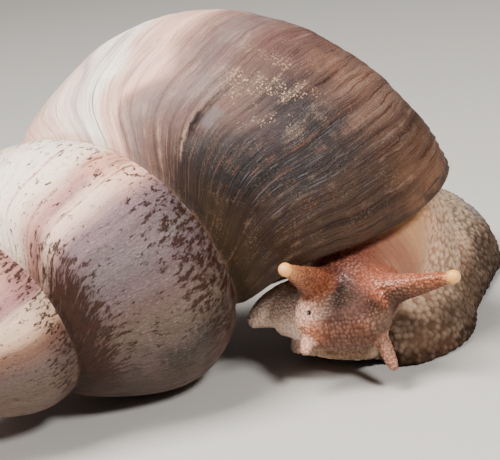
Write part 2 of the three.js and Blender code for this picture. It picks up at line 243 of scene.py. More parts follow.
def mesh_object(name, points, faces):
    """A new object from points in millimetres."""
    mesh = bpy.data.meshes.new(name)
    mesh.from_pydata((np.asarray(points) * MM).tolist(), [], faces)
    mesh.update()
    return link(name, mesh)


def edit(mesh, *changes):
    """Runs changes, functions of a bmesh, on the mesh."""
    shape = bmesh.new()
    shape.from_mesh(mesh)
    for change in changes:
        change(shape)
    shape.to_mesh(mesh)
    shape.free()


def weld(shape):
    """Joins points that meet."""
    bmesh.ops.remove_doubles(shape, verts=shape.verts, dist=WELD * MM)


def face_out(shape):
    """Turns the normals outwards."""
    bmesh.ops.recalc_face_normals(shape, faces=shape.faces)


def read(items, field, width, kind=np.float32):
    """One field of all items as an array with a row for each."""
    values = np.empty(len(items) * width, kind)
    items.foreach_get(field, values)
    return values.reshape(-1, width)


def points_of(mesh):
    """The points in millimetres."""
    return read(mesh.vertices, "co", 3).astype(float) / MM


def set_points(mesh, points):
    """Moves the points, given in millimetres, to their new places, none below the floor."""
    points[:, 2] = np.maximum(points[:, 2], 0)
    mesh.vertices.foreach_set("co", (points * MM).astype(np.float32).ravel())
    mesh.update()


def normals_of(mesh):
    return read(mesh.vertex_normals, "vector", 3).astype(float)


def edge_ends(mesh):
    return read(mesh.edges, "vertices", 2, np.int32).T


def apply_modifiers(made):
    """The evaluated mesh replaces the object's own, and its modifiers go."""
    depsgraph = bpy.context.evaluated_depsgraph_get()
    mesh = bpy.data.meshes.new_from_object(made.evaluated_get(depsgraph))
    old = made.data
    made.modifiers.clear()
    made.data = mesh
    bpy.data.meshes.remove(old)
    return mesh


def merged_copy(node):
    """A copy of a frame node, its loose triangles joined up."""
    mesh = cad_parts[node].data.copy()
    mesh.materials.clear()
    edit(mesh, weld)
    return link("merged_" + node, mesh)


def set_attribute(mesh, name, values, kind="FLOAT"):
    """Writes a point attribute, over the old one of that name if there is one."""
    if name in mesh.attributes:
        mesh.attributes.remove(mesh.attributes[name])
    attribute = mesh.attributes.new(name, kind, "POINT")
    field = "color" if kind == "FLOAT_COLOR" else "value"
    attribute.data.foreach_set(field, np.asarray(values, np.float32).ravel())


def shade_smooth(mesh):
    mesh.polygons.foreach_set("use_smooth", [True] * len(mesh.polygons))
    mesh.update()


def wander(x, seed):
    """Smooth random values from -1 to 1 along one coordinate, a new value at each whole number."""
    count = 8192
    table = np.random.default_rng(seed).uniform(-1, 1, count)
    cell = np.floor(x).astype(int)
    share = smooth(x - cell)
    return table[cell % count] * (1 - share) + table[(cell + 1) % count] * share


# ---- shell ---------------------------------------------------------------------------------------
# A whorl's section is an oval with a shoulder and a flat flank, and t is the angle round it. It winds
# round the shell's axis by the angle theta, in radians, which falls from the lip towards the apex.
SHELL_APEX = np.array([-50.0, -0.7, 15.7])
SPIRE_DROOP = math.radians(8.2)
SHELL_ROLL = math.radians(26.7)
RING_RADIUS = 13.82
RING_RATE = 0.0663
SPIRE_DROP = -85.2
DROP_RATE = 0.0901
SECTION_WIDTH = 18.85
SECTION_HEIGHT = 23.9
SECTION_RATE = 0.0525
SECTION_LEAN = 0.147
SECTION_SHOULDER = 0.037
SECTION_FLANK = 0.033
EARLY_ANGLE = -14.14
EARLY_RATE = 0.068
LIP_ANGLE = -0.474
SHELL_NODES = (
    "shell_body_whorl",
    "shell_penultimate_whorl",
    "shell_third_whorl",
    "shell_fourth_whorl",
    "shell_fifth_whorl",
    "shell_sixth_whorl",
    "shell_apex",
)
TURN_COLUMNS = (48, 48, 32, 24, 16, 12, 12)  # faces from suture to suture on each turn
BASE_COLUMNS = 42  # and on the last turn from there to the pillar
TURN_ROWS = 360
TIP_RADIUS = 2.5
RETREAT_SPAN = 2.4  # radians behind the lip in which rows of faces come to follow the growth lines
CHIP = -1.535  # growth coordinate of the chip in the last whorl
UV_BANDS = (  # one for each turn and one for the inside of the lip
    (0.0, 0.40),
    (0.42, 0.56),
    (0.58, 0.68),
    (0.70, 0.77),
    (0.79, 0.84),
    (0.86, 0.89),
    (0.91, 0.94),
    (0.955, 0.995),
)


def section_radius(t):
    """Radius of the whorl's section at full size."""
    lean = t - SECTION_LEAN
    oval = 1 / np.hypot(np.cos(lean) / SECTION_WIDTH, np.sin(lean) / SECTION_HEIGHT)
    return oval * (1 - SECTION_SHOULDER * np.sin(2 * t) - SECTION_FLANK * np.sin(3 * t))


def whorl(theta):
    """Distance from the axis, height and size of the whorl section at a winding angle."""
    late = np.maximum(theta, EARLY_ANGLE)
    early = np.exp(EARLY_RATE * np.minimum(theta - EARLY_ANGLE, 0))
    drop = SPIRE_DROP * np.exp(DROP_RATE * late)
    reach = drop * DROP_RATE / EARLY_RATE
    ring = RING_RADIUS * np.exp(RING_RATE * late) * early
    size = np.exp(SECTION_RATE * late) * early
    return ring, drop - reach + reach * early, size


def surface_at(theta, t, grow=0.0):
    """Distance from the axis and height of a point of the surface, raised by grow."""
    ring, height, size = whorl(theta)
    r = section_radius(t) * size + grow
    return ring + r * np.cos(t), height + r * np.sin(t)


def bisect(inside, low, high):
    """The edge between low, where inside is true, and high."""
    for _ in range(36):
        middle = (low + high) / 2
        kept = inside(middle)
        low = np.where(kept, middle, low)
        high = np.where(kept, high, middle)
    return low


def upper_suture(theta):
    """Section angle where a whorl meets the one before it."""
    ring, height, size = whorl(theta - TAU)

    def clear(t):
        x, z = surface_at(theta, t)
        x = x - ring
        z = z - height
        return np.hypot(x, z) > section_radius(np.arctan2(z, x)) * size

    search_step = 0.05
    high = np.full_like(theta, -0.15)
    for _ in range(80):
        high = np.where(clear(high), high + search_step, high)
    return bisect(clear, high - search_step, high)


def lower_suture(theta):
    """Section angle where the next whorl meets this one."""
    x, z = surface_at(theta + TAU, upper_suture(theta + TAU))
    ring, height, _ = whorl(theta)
    return np.arctan2(z - height, x - ring)


def pillar_angle(theta, low, high):
    """Section angle where the surface reaches the pillar in the middle."""
    def outside(t):
        x, z = surface_at(theta, t)
        return x > 0.35 + 0.018 * np.abs(z - 8)

    return bisect(outside, np.full_like(theta, low), np.full_like(theta, high))


def growth_retreat(v):
    """How far a growth line lies behind its start on the suture, from suture 0 to pillar 1."""
    shoulder = 0.45 * (1 - np.exp(-((np.maximum(v, 0) / 0.075) ** 1.2)))
    return -shoulder - 0.35 * np.maximum(v - 0.3, 0) + 0.9 * np.maximum(v - 0.62, 0)


def shell_matrix():
    """Rows of the directions of the shell's own axes; the last points to the tip."""
    spire = Vector((-math.cos(SPIRE_DROOP), 0, -math.sin(SPIRE_DROOP)))
    down = Vector((math.sin(SPIRE_DROOP), 0, -math.cos(SPIRE_DROOP)))
    first = Vector((0, -math.sin(SHELL_ROLL), 0)) + down * math.cos(SHELL_ROLL)
    return np.array([first, spire.cross(first), spire])


def shell_points(x, z, theta):
    """Places in the frame, in millimetres."""
    local = np.stack([x * np.cos(theta), -x * np.sin(theta), z], -1)
    return local @ shell_matrix() + SHELL_APEX - ORIGIN


def growth_relief(growth, v, age):
    """Height of the growth ridges in millimetres; age is the distance behind the lip."""
    fine = 0.05 * wander(growth * 42 + v * 1.5, 11) + 0.04 * wander(growth * 85 - v * 2, 12)
    rests = 0.16 * wander(growth * 9 + 0.6 * wander(v * 3, 5), 13)
    rests = rests + 0.1 * np.maximum(wander(growth * 21 + v, 14), 0) ** 2
    flaky = smooth(1 - age / 0.5) * smooth((v - 0.3) / 0.2)
    layer = (growth * 17 + 0.35 * wander(v * 9, 15)) % 1.0
    beyond = growth - CHIP + 0.02 * wander(v * 60, 16)
    chip = smooth((beyond + 0.012) / 0.02) * smooth((0.13 - beyond) / 0.13)
    chip = chip * smooth((v - 0.085) / 0.03) * smooth((0.235 - v) / 0.05)
    return fine + rests + 0.32 * flaky * (layer - 0.6) - 0.55 * chip * (age < 2.5)


def lip_flare(v):
    """How far the lip turns out, in millimetres."""
    return 0.9 * np.sin(math.pi * np.clip((v - 0.35) / 0.5, 0, 1)) ** 2


def turn_grid(turn, relief):
    """Points and coordinates of one whole turn, counted back from the lip."""
    end = LIP_ANGLE - TAU * turn
    theta = np.linspace(end - TAU, end, TURN_ROWS + 1)
    suture = upper_suture(theta)
    is_tip = turn == len(TURN_COLUMNS) - 1
    start = pillar_angle(theta, 0.6, 3.0) if is_tip else suture
    base = pillar_angle(theta, -1.2, -3.0)
    columns = np.linspace(0, 1, TURN_COLUMNS[turn] + 1)
    t = start[:, None] + (lower_suture(theta) - start)[:, None] * columns
    if turn == 0:
        rest = np.linspace(0, 1, BASE_COLUMNS + 1)[1:]
        t = np.concatenate([t, t[:, -1:] + (base - t[:, -1])[:, None] * rest], 1)
    v = (suture[:, None] - t) / (suture - base)[:, None]
    rows = theta[:, None] + 0 * v
    weight = smooth(1 - (LIP_ANGLE - rows) / RETREAT_SPAN) if turn == 0 else 0 * v
    angle = rows + weight * growth_retreat(v)
    growth = angle - growth_retreat(v)
    edge = smooth(v / 0.02) * (1 if turn == 0 else smooth((1 - columns) / 0.04))
    size = whorl(rows)[2]
    raised = relief * size * edge * growth_relief(growth, v, LIP_ANGLE - growth)
    x, z = surface_at(angle, t, weight * weight * lip_flare(v) + raised)
    return {"points": shell_points(x, z, angle), "growth": growth, "v": v, "t": t}


def lip_grid(outer, wall):
    """The rounded edge of the lip and the inside of the wall behind it."""
    v = outer["v"][-1]
    profile = [(0.003, -0.12), (0.004, -0.3), (0.002, -0.5), (-0.006, -0.7)]
    profile += [(-0.03, -0.9), (-0.08, -1.1)] + [(-0.08 * k, -wall) for k in range(2, 8)]
    grid = {"points": [outer["points"][-1]], "growth": [outer["growth"][-1]], "v": [v]}
    for back, inset in profile:
        angle = LIP_ANGLE + back + growth_retreat(v)
        x, z = surface_at(angle, outer["t"][-1], lip_flare(v) + inset)
        grid["points"].append(shell_points(x, z, angle))
        grid["growth"].append(np.full_like(v, LIP_ANGLE + 0.05 - 0.1 * (inset + 0.3)))
        grid["v"].append(v)
    return {name: np.array(rows) for name, rows in grid.items()}


class SnailShellSettings(bpy.types.PropertyGroup):
    wall: bpy.props.FloatProperty(
        name="Lip wall",
        description="Thickness of the shell wall behind the lip",
        default=0.0013, min=0.0006, max=0.002, unit="LENGTH",
    )
    relief: bpy.props.FloatProperty(
        name="Growth relief",
        description="Height of the growth ridges, 1 for a weathered adult shell",
        default=1.0, min=0.0, max=3.0,
    )
    flecks: bpy.props.FloatProperty(
        name="Brown flecks",
        description="How much of the dark outer layer is left on the older whorls",
        default=0.5, min=0.0, max=1.0, subtype="FACTOR",
    )


def shell_mesh(settings):
    """Points, faces and UV maps of all turns; the Growth map is the growth coordinate and v."""
    grids = [turn_grid(turn, settings.relief) for turn in range(len(TURN_COLUMNS))]
    grids.append(lip_grid(grids[0], settings.wall / MM))
    points, faces, growth, layout = [], [], [], []
    count = 0
    for grid, (low, high) in zip(grids, UV_BANDS):
        rows, columns = grid["v"].shape
        index = count + np.arange(rows * columns).reshape(rows, columns)
        quads = np.stack([index[:-1, :-1], index[:-1, 1:], index[1:, 1:], index[1:, :-1]], -1)
        faces.append(quads.reshape(-1, 4))
        points.append(grid["points"].reshape(-1, 3))
        growth.append(np.stack([grid["growth"], grid["v"]], -1).reshape(-1, 2))
        across = np.linspace(0.01, 0.99, rows)[:, None] + np.zeros(columns)
        down = np.linspace(low, high, columns) + np.zeros((rows, 1))
        layout.append(np.stack([across, down], -1).reshape(-1, 2))
        count += rows * columns
    maps = {"OFBake": np.concatenate(layout), "Growth": np.concatenate(growth)}
    return np.concatenate(points), np.concatenate(faces), maps


def close_tip(shape):
    """Fills the hole at the tip and gives the cap the UVs beside it."""
    tip = min((v.co.x, v) for v in shape.verts)[1]

    def at_tip(edge):
        return all((v.co - tip.co).length < TIP_RADIUS * MM for v in edge.verts)

    rim = [e for e in shape.edges if e.is_boundary and at_tip(e)]
    cap = bmesh.ops.holes_fill(shape, edges=rim, sides=len(rim))["faces"]
    for loop in [corner for face in cap for corner in face.loops]:
        beside = next(other for other in loop.vert.link_loops if other.face not in cap)
        for layer in shape.loops.layers.uv.values():
            loop[layer].uv = beside[layer].uv


def build_shell(settings):
    """The shell's object, pressed flat where it would reach below the floor."""
    points, faces, maps = shell_mesh(settings)
    points[:, 2] = np.maximum(points[:, 2], 0)
    shell = mesh_object("shell", points, faces.tolist())
    corners = read(shell.data.loops, "vertex_index", 1, np.int32)[:, 0]
    for name, values in maps.items():
        uv = shell.data.uv_layers.new(name=name)
        uv.data.foreach_set("uv", values[corners].astype(np.float32).ravel())
    edit(shell.data, weld, close_tip, face_out)
    shade_smooth(shell.data)
    shell.data.materials.append(shell_material(settings))
    return shell


# Places on the shell by growth coordinate, which follows theta but is even along a growth line.
OLD_TO_YOUNG = (-6.5, -5.2)
NEAR_LIP = (-1.9, -1.1)
REST_LINE = -2.275
LAST_WHORL_BACK, LAST_WHORL_SPAN = 6.757, 6.4
LAST_WHORL_TONES = [
    # share of the span, red, green, blue
    (0.000, 120, 92, 78),
    (0.250, 134, 104, 88),
    (0.450, 154, 122, 104),
    (0.600, 236, 196, 178),
    (0.650, 255, 226, 212),
    (0.676, 240, 212, 202),
    (0.683, 190, 180, 180),
    (0.692, 250, 228, 216),
    (0.700, 255, 250, 238),
    (0.728, 255, 248, 236),
    (0.740, 244, 204, 186),
    (0.754, 226, 184, 172),
    (0.772, 244, 198, 178),
    (0.788, 152, 120, 110),
    (0.814, 124, 108, 106),
    (0.840, 108, 82, 74),
    (0.858, 92, 70, 64),
    (0.884, 50, 40, 40),
    (0.925, 40, 32, 32),
    (0.950, 54, 38, 30),
    (1.000, 66, 44, 30),
]
OLD_WHORLS_BACK, OLD_WHORLS_SPAN = 15.0, 8.6
OLD_WHORLS_TONES = [
    (0.000, 214, 180, 164),
    (0.140, 196, 142, 132),
    (0.170, 160, 110, 112),
    (0.184, 246, 214, 188),
    (0.208, 230, 188, 156),
    (0.220, 130, 92, 74),
    (0.250, 98, 82, 76),
    (0.290, 96, 78, 66),
    (0.450, 174, 142, 126),
    (0.680, 190, 158, 144),
    (0.740, 232, 208, 194),
    (0.772, 255, 244, 232),
    (0.812, 255, 232, 210),
    (0.829, 196, 144, 132),
    (0.838, 178, 122, 118),
    (0.848, 255, 224, 198),
    (0.857, 226, 186, 172),
    (0.869, 126, 102, 108),
    (0.888, 106, 90, 92),
    (0.908, 98, 88, 88),
    (0.925, 94, 78, 80),
    (0.950, 100, 78, 72),
    (0.975, 88, 74, 62),
    (1.000, 54, 46, 38),
]
OLD_STREAKS = [
    # growth coordinate, width, red, green, blue
    (-8.12, 0.016, 176, 112, 84),
    (-7.90, 0.024, 168, 100, 70),
    (-7.79, 0.034, 146, 106, 106),
    (-7.715, 0.014, 112, 68, 52),
]


def shell_material(settings):
    """Weathered shell: colours run with the growth lines, flecks and stains with the whorls, and painted
    shade lies along the sutures.
    """
    material, g = new_material("weathered_shell")
    growth, v, _ = g.split(g.node("ShaderNodeUVMap", {"uv_map": "Growth"})[0])
    place = g.place()
    bent = growth + 0.05 * (g.noise(place, 160.0, 4.0, 0.65)[0] - 0.5)
    n = SimpleNamespace(
        stripes=g.noise(g.vector(bent * 11, v * 1.6), 1.0, 3.0, 0.5)[0],
        streaks=g.noise(g.vector(bent * 26, v * 4.0, 3.0), 1.0, 4.0, 0.6)[0],
        lines=g.noise(g.vector(bent * 80, v * 5, 7.0), 1.0, 3.0, 0.65)[0],
        etched=g.noise(g.vector(bent * 150, v * 60, 9.0), 1.0, 3.0, 0.7)[0],
        grain=g.noise(place, 900.0, 4.0, 0.65)[0],
        specks=g.noise(place, 3400.0, 2.0, 0.6)[0],
        cloud=g.noise(place, 120.0, 4.0, 0.6)[0],
        patch=g.noise(place, 300.0, 4.0, 0.65)[0],
    )
    shifted = growth + 0.1 * (n.stripes - 0.5) + 0.04 * (n.streaks - 0.5)
    young = last_whorl_paint(g, growth, shifted, v, n)
    lay_wear_and_crack_shadow(young, growth, v, n)
    old, flecks = old_whorls_paint(g, settings, growth, shifted, v, n)
    turned = g.step(shifted + 0.9 * (n.cloud - 0.5), *OLD_TO_YOUNG)
    paint = Paint(g, g.mix(turned, old.colour, young.colour))
    ragged = v + 0.008 * (n.grain - 0.5)
    seam = g.step(ragged, 0.006, 0.003) * g.step(ragged, -0.003, 0.0) * g.step(n.patch, 0.36, 0.6)
    paint.lay(seam * 0.35, 132, 94, 64)
    # painted shade in the suture groove of every whorl
    paint.darken(g.step(ragged, 0.028, 0.008) * 0.5, 0.4, 0.3, 0.24)
    height = 0.42 * n.lines + 0.3 * n.etched + 0.25 * n.streaks + 0.16 * n.grain
    height = height + 0.3 * flecks * (1 - turned)
    varying = {
        "Base Color": paint.colour,
        "Roughness": (0.26 + 0.2 * n.grain + 0.16 * n.etched).limited(),
        "Normal": bump(g, height, 0.0004),
    }
    finish_material(g, {"IOR": 1.5, "Specular IOR Level": 0.22}, varying)
    return material


def last_whorl_paint(g, growth, shifted, v, n):
    """Grey and cream behind, mauve brown in the middle, nearly black with rust near the lip, and painted
    shade by the suture there.
    """
    ahead = 0.5 * g.step(v, 0.27, 0.02) * g.step(growth, -2.6, -1.8)
    stage = shifted + ahead + 0.2 * g.step(v, 0.15, 0.35)
    share = (stage + LAST_WHORL_BACK) * (1 / LAST_WHORL_SPAN)
    paint = Paint(g, g.ramp(share, LAST_WHORL_TONES))
    rim = g.step(v, 0.4, 0.5) * g.step(growth, -0.85, -0.6)
    paint.lay(rim * 0.7, 122, 86, 64)
    upper = g.step(v, 0.36, 0.52) * g.band(growth, -1.12, 0.42)
    paint.lay(upper * 0.5, 156, 120, 102)
    late = g.step(growth, *NEAR_LIP)
    paint.darken(g.step(n.stripes, 0.56, 0.38) * (0.3 + 0.28 * late), 0.5, 0.42, 0.43)
    # painted shade: darker towards the suture near the lip, and darker still in the corner by the suture
    paint.darken(g.step(v, 0.3, 0.06) * late * 0.8, 0.42, 0.38, 0.34)
    corner = g.step(v, 0.05, 0.01) * g.step(growth, -1.3, -0.9)
    paint.darken(corner * 0.7, 0.3, 0.24, 0.2)
    worn = g.step(n.streaks, 0.52, 0.66) * g.step(n.patch, 0.4, 0.62)
    paint.lay(worn * (0.3 - 0.18 * late), 206, 176, 156)
    paint.darken(g.step(n.streaks, 0.5, 0.34) * 0.6, 0.45, 0.38, 0.38)
    paint.darken(g.step(n.lines, 0.5, 0.36) * (0.4 + 0.45 * late), 0.34, 0.28, 0.26)
    thin = g.step(n.lines, 0.56, 0.6) * g.step(n.lines, 0.66, 0.62)
    paint.lay(thin * (1 - late) * 0.45, 150, 108, 86)
    plum = g.step(n.cloud, 0.46, 0.6) * g.band(stage, -1.4, 0.5)
    paint.lay(plum * 0.38, 92, 62, 66)
    russet = g.step(n.patch, 0.42, 0.58) * g.band(growth, -1.3, 0.28) * g.step(v, 0.34, 0.46)
    paint.lay(russet * 0.3, 116, 76, 62)
    rust = g.noise(g.vector(growth * 46, v * 2.0, 21.0), 1.0, 4.0, 0.6)[0]
    rusty = g.step(rust, 0.56, 0.64) * g.step(n.patch, 0.42, 0.6) * late
    paint.lay(rusty * 0.5, 98, 54, 32)
    olive = g.step(v, 0.1, 0.02) * late
    paint.lay(olive * 0.3, 74, 56, 26)
    scratch = g.noise(g.vector(growth * 110, v * 9, 41.0), 1.0, 3.0, 0.7)[0]
    scratched = g.band(growth, -1.0, 0.6) * g.step(v, 0.04, 0.14)
    paint.lay(g.step(scratch, 0.58, 0.68) * scratched * 0.34, 128, 128, 132)
    freckles = g.step(n.specks, 0.56, 0.62) * g.step(n.patch, 0.44, 0.6)
    freckled = 0.08 + 0.8 * g.band(growth, -1.38, 0.34) * g.band(v, 0.33, 0.17)
    paint.lay(freckles * freckled, 206, 176, 136)
    return paint


def lay_wear_and_crack_shadow(paint, growth, v, n):
    """A rest line, the chip in the last whorl with the bare plate behind it and painted shadow in its
    crack, and the frayed lip.
    """
    g = paint.graph
    rest = g.band(growth + 0.012 * (n.lines - 0.5), REST_LINE, 0.012) * g.step(v, 0.34, 0.1)
    paint.lay(rest * 0.8, 84, 58, 48)
    line = growth + 0.05 * (n.grain - 0.5) - 0.3 * g.step(v, 0.2, 0.34) * (v - 0.2)
    length = g.step(v, 0.05, 0.08) * g.step(v, 0.3, 0.26)
    plate = g.band(line, CHIP + 0.055, 0.07) * g.step(v, 0.14, 0.16) * g.step(v, 0.22, 0.2)
    paint.lay(plate * 0.45, 104, 100, 106)
    rim = g.band(line, CHIP - 0.027, 0.014) * length * g.step(v, 0.2, 0.14)
    paint.lay(rim * 0.7, 158, 128, 104)
    # painted shadow in the chip's crack, widest where the crack is deepest
    deep = g.step(v, 0.115, 0.13) * g.step(v, 0.185, 0.165)
    crack_shadow = g.band(line, CHIP, 0.012) * length * 0.5
    crack_shadow = crack_shadow.or_more(g.band(line, CHIP - 0.005, 0.034) * deep)
    paint.lay(crack_shadow * 0.95, 20, 13, 10)
    frayed = g.step(growth, LIP_ANGLE - 0.16, LIP_ANGLE - 0.02) * g.step(n.patch, 0.4, 0.6)
    paint.lay(frayed * 0.8, 46, 29, 20)


def old_whorls_paint(g, settings, growth, shifted, v, n):
    """Pinkish lilac where the dark outer layer has worn off, with flecks of it left."""
    share = (shifted + OLD_WHORLS_BACK) * (1 / OLD_WHORLS_SPAN)
    paint = Paint(g, g.ramp(share, OLD_WHORLS_TONES))
    tan = g.step(v, 0.36, 0.47) * g.band(growth, -7.75, 0.3)
    paint.lay(tan * 0.7, 250, 186, 156)
    rosy = g.step(n.cloud, 0.46, 0.6) * g.step(growth, -7.7, -7.4)
    paint.lay(rosy * 0.3, 116, 92, 92)
    paint.lay(g.step(n.etched, 0.52, 0.66) * 0.22, 186, 172, 172)
    paint.darken(g.step(n.etched, 0.48, 0.34) * 0.4, 0.5, 0.4, 0.4)
    paint.darken(g.step(n.streaks, 0.5, 0.34) * 0.45, 0.62, 0.5, 0.5)
    for where, width, *channels in OLD_STREAKS:
        line = g.band(growth + 0.03 * (n.streaks - 0.5), where, width)
        paint.lay(line * g.step(n.patch, 0.34, 0.6) * 0.8, *channels)
    third = g.step(growth, -9.6, -10.4) * g.step(v, 0.36, 0.5)
    foul = g.step(v, 0.17, 0.03) * g.step(growth, -8.6, -7.5)
    paint.lay(foul.or_more(third * 0.45) * 0.8, 66, 38, 26)
    top = g.step(v, 0.22, 0.04) * g.step(growth, -8.2, -7.3)
    low = g.step(v, 0.34, 0.5) * (0.3 + 0.4 * g.step(growth, -7.7, -7.1))
    left = top.or_more(low.or_more(third * 0.55))
    shreds = g.noise(g.vector(growth * 24, v * 20, 31.0), 1.0, 8.0, 0.78)[0]
    density = left + 0.4 * (n.cloud - 0.45) + 0.5 * (n.patch - 0.5)
    flecks = g.step(shreds + 0.14 * density + 0.05 * settings.flecks, 0.615, 0.635)
    brown = g.mix(n.grain, tone(16, 7, 4), tone(66, 34, 20))
    paint.colour = g.mix(flecks * 0.93, paint.colour, brown)
    return paint, flecks


class SNAIL_OT_shell(bpy.types.Operator):
    """Builds the shell as one spiral surface from the apex to the lip"""

    bl_idname = "snail.shell"
    bl_label = "Shell"

    def execute(self, context):
        shell = build_shell(context.scene.snail_shell)
        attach(shell, "root")
        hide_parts(*SHELL_NODES)
        return {"FINISHED"}


# ---- skin ----------------------------------------------------------------------------------------
# Stations of the body's lengths: x, y and z, then the half width and the reach up and down.
# The foot's have its half widths right and left and its height, and FOOT_OUTLINE is half its section.
FOOT_OUTLINE = [(1, 0), (1, 0.1), (0.95, 0.3), (0.84, 0.58), (0.62, 0.84), (0.32, 0.97), (0, 1)]
FOOT = [
    (19.5, -21, 3.4, 3, 3, 3),
    (22.5, -20.5, 2.4, 6.5, 6.5, 7),
    (28.5, -19.5, 0.8, 8.5, 8.5, 10),
    (32.5, -19.5, 0, 12.8, 8.5, 12),
    (38, -17, 0, 14.3, 8, 13),
    (47, -10.5, 0, 13.6, 10.5, 13.5),
    (58, -2.5, 0, 14.3, 13, 13),
    (69.5, 5.5, 0, 14, 12, 12),
    (75.5, 18, 0, 12.8, 11, 11.5),
    (68.5, 31, 0, 14, 11.5, 11),
    (51, 35, 0, 15, 14, 10.5),
    (32, 35.5, 0, 14, 14, 9.5),
    (12, 35, 0, 12, 12, 7.5),
    (-7, 34.5, 0, 9, 9, 5.5),
    (-23, 35, 0, 5.2, 5.2, 3.4),
    (-35, 36.5, 0, 1.3, 1.3, 1.4),
]
TRUNK = [
    (42.5, -13.5, 4, 15, 11, 11),
    (41.5, -14.5, 11, 14.5, 10.5, 11),
    (37.5, -16, 17, 13.5, 10, 10.5),
    (33, -17.5, 23, 13, 9.5, 9.5),
    (31, -18.5, 29, 12, 9, 8.5),
]
HEAD = [
    (40.5, -18.5, 19.5, 7.5, 7, 8),
    (35.5, -21, 16.6, 7.6, 6.8, 8.4),
    (30, -23.2, 14.3, 7.6, 6.4, 7.8),
    (25.8, -24.8, 13, 7.6, 6, 7),
    (22.6, -26.5, 12.2, 7.3, 5.6, 6.8),
    (20, -28.6, 11.4, 7.2, 4.4, 6.5),
    (18.2, -30.2, 10.4, 6.8, 3.1, 5.5),
    (17.1, -31.3, 9.6, 5, 1.9, 3.9),
    (16.5, -31.8, 9.3, 2, 0.8, 1.5),
]
LOBE = [
    (28, -19, 8.5, 5, 5.5, 5.5),
    (22.5, -15.5, 9.6, 4.5, 4.2, 4),
    (18.5, -13, 9, 3, 2.8, 2.2),
    (16, -11.4, 7.9, 1.2, 0.8, 0.8),
]
CHEEK = [
    (23, -25, 10.5, 5),
    (20.5, -20.5, 9.8, 4.2),
    (19.5, -15.5, 9, 3.2),
]
FEELERS = {
    # x, y, z and radius
    "upper_right": [
        (22, -23.6, 13.4, 3.3),
        (18.6, -25.2, 15.4, 2.7),
        (14.2, -27.3, 18.0, 1.75),
        (10, -29.3, 20.5, 1.05),
        (8.7, -29.9, 21.2, 0.98),
    ],
    "upper_left": [
        (23.6, -27, 12.7, 3.9),
        (25.0, -30.8, 13.2, 3.3),
        (26.7, -35.4, 14.4, 2.0),
        (28.5, -40.8, 15.8, 1.02),
        (29, -42.3, 16.2, 0.95),
    ],
    "lower_right": [
        (19, -25.5, 11, 1.9),
        (15.5, -26.2, 9.8, 1.2),
        (13.2, -27, 7.6, 0.85),
        (12.6, -27.2, 6.9, 0.5),
    ],
    "lower_left": [
        (22, -30, 9.6, 2.2),
        (22.3, -33, 7.6, 1.3),
        (21.5, -35.8, 4.6, 0.9),
        (21.2, -36.7, 3.5, 0.5),
    ],
}
SKIN_TRIANGLES = 190000
REGIONS = ("Face", "Muzzle", "Bare")
SKIN_NODES = (
    "foot_front",
    "foot_fore_margin",
    "foot_bend_fore",
    "foot_bend",
    "foot_bend_rear",
    "foot_rear",
    "foot_hind",
    "tail",
    "tail_tip",
    "trunk",
    "neck",
    "head",
    "muzzle",
    "foot_front_lobe",
    "mantle_collar",
    "upper_tentacle_right",
    "upper_tentacle_left",
    "lower_tentacle_right",
    "lower_tentacle_left",
)


class SnailSkinSettings(bpy.types.PropertyGroup):
    grain: bpy.props.FloatProperty(
        name="Mesh grain",
        description="Voxel size that the body is joined at",
        default=0.00036, min=0.00025, max=0.002, unit="LENGTH",
    )
    coarse: bpy.props.FloatProperty(
        name="Flank tubercles",
        description="Size of the tubercles on the flank",
        default=0.00112, min=0.0005, max=0.004, unit="LENGTH",
    )
    fine: bpy.props.FloatProperty(
        name="Head tubercles",
        description="Size of the tubercles on the head",
        default=0.00046, min=0.0003, max=0.003, unit="LENGTH",
    )
    height: bpy.props.FloatProperty(
        name="Tubercle height",
        description="How far the flank tubercles stand out",
        default=0.00042, min=0.0, max=0.001, unit="LENGTH",
    )
    roughness: bpy.props.FloatProperty(
        name="Roughness",
        description="Roughness of the wet skin",
        default=0.34, min=0.05, max=1.0, subtype="FACTOR",
    )


def course(stations, count):
    """A Catmull-Rom course through the stations, with its directions."""
    table = np.array(stations, float)
    last = len(table) - 1
    s = np.linspace(0, last, count)
    i = np.minimum(s.astype(int), last - 1)
    u = (s - i)[:, None]
    a, b, c, d = (table[np.clip(i + k, 0, last)] for k in (-1, 0, 1, 2))
    at = b + 0.5 * ((c - a) * u + (2 * a - 5 * b + 4 * c - d) * u**2 + (3 * b - a - 3 * c + d) * u**3)
    slope = 0.5 * ((c - a) + 2 * (2 * a - 5 * b + 4 * c - d) * u + 3 * (3 * b - a - 3 * c + d) * u**2)
    along = slope[:, :3] / np.linalg.norm(slope[:, :3], axis=1, keepdims=True)
    return at, along


def tube(rings):
    """Points and faces of a closed length from rings of equal count."""
    rows, sides = rings.shape[:2]
    points = np.concatenate([rings.reshape(-1, 3), rings[:1].mean(1), rings[-1:].mean(1)])
    faces = []
    for i in range(rows - 1):
        for j in range(sides):
            k = (j + 1) % sides
            faces.append((i * sides + j, i * sides + k, (i + 1) * sides + k, (i + 1) * sides + j))
    first, final = rows * sides, rows * sides + 1
    for j in range(sides):
        k = (j + 1) % sides
        faces.append((first, k, j))
        faces.append((final, (rows - 1) * sides + j, (rows - 1) * sides + k))
    return points, faces


def sideways(along):
    """Level directions at right angles to the course."""
    side = np.stack([along[:, 1], -along[:, 0], 0 * along[:, 0]], 1)
    return side / np.linalg.norm(side, axis=1, keepdims=True)


def round_body(stations, count, sides, across=None):
    """A length of body with an oval section, its width level or along across."""
    stations = [s if len(s) == 6 else (*s, s[3], s[3]) for s in stations]
    at, along = course(stations, count)
    side = sideways(along)
    if across is not None:
        across = np.array(across, float)
        side = across - along * (along @ across)[:, None]
        side = side / np.linalg.norm(side, axis=1, keepdims=True)
    up = np.cross(side, along)
    a = np.linspace(0, TAU, sides, endpoint=False)
    reach = np.where(np.sin(a) > 0, at[:, 4:5], at[:, 5:6])
    wide = (at[:, 3:4] * np.cos(a))[..., None] * side[:, None]
    tall = (reach * np.sin(a))[..., None] * up[:, None]
    return tube(at[:, None, :3] + wide + tall)


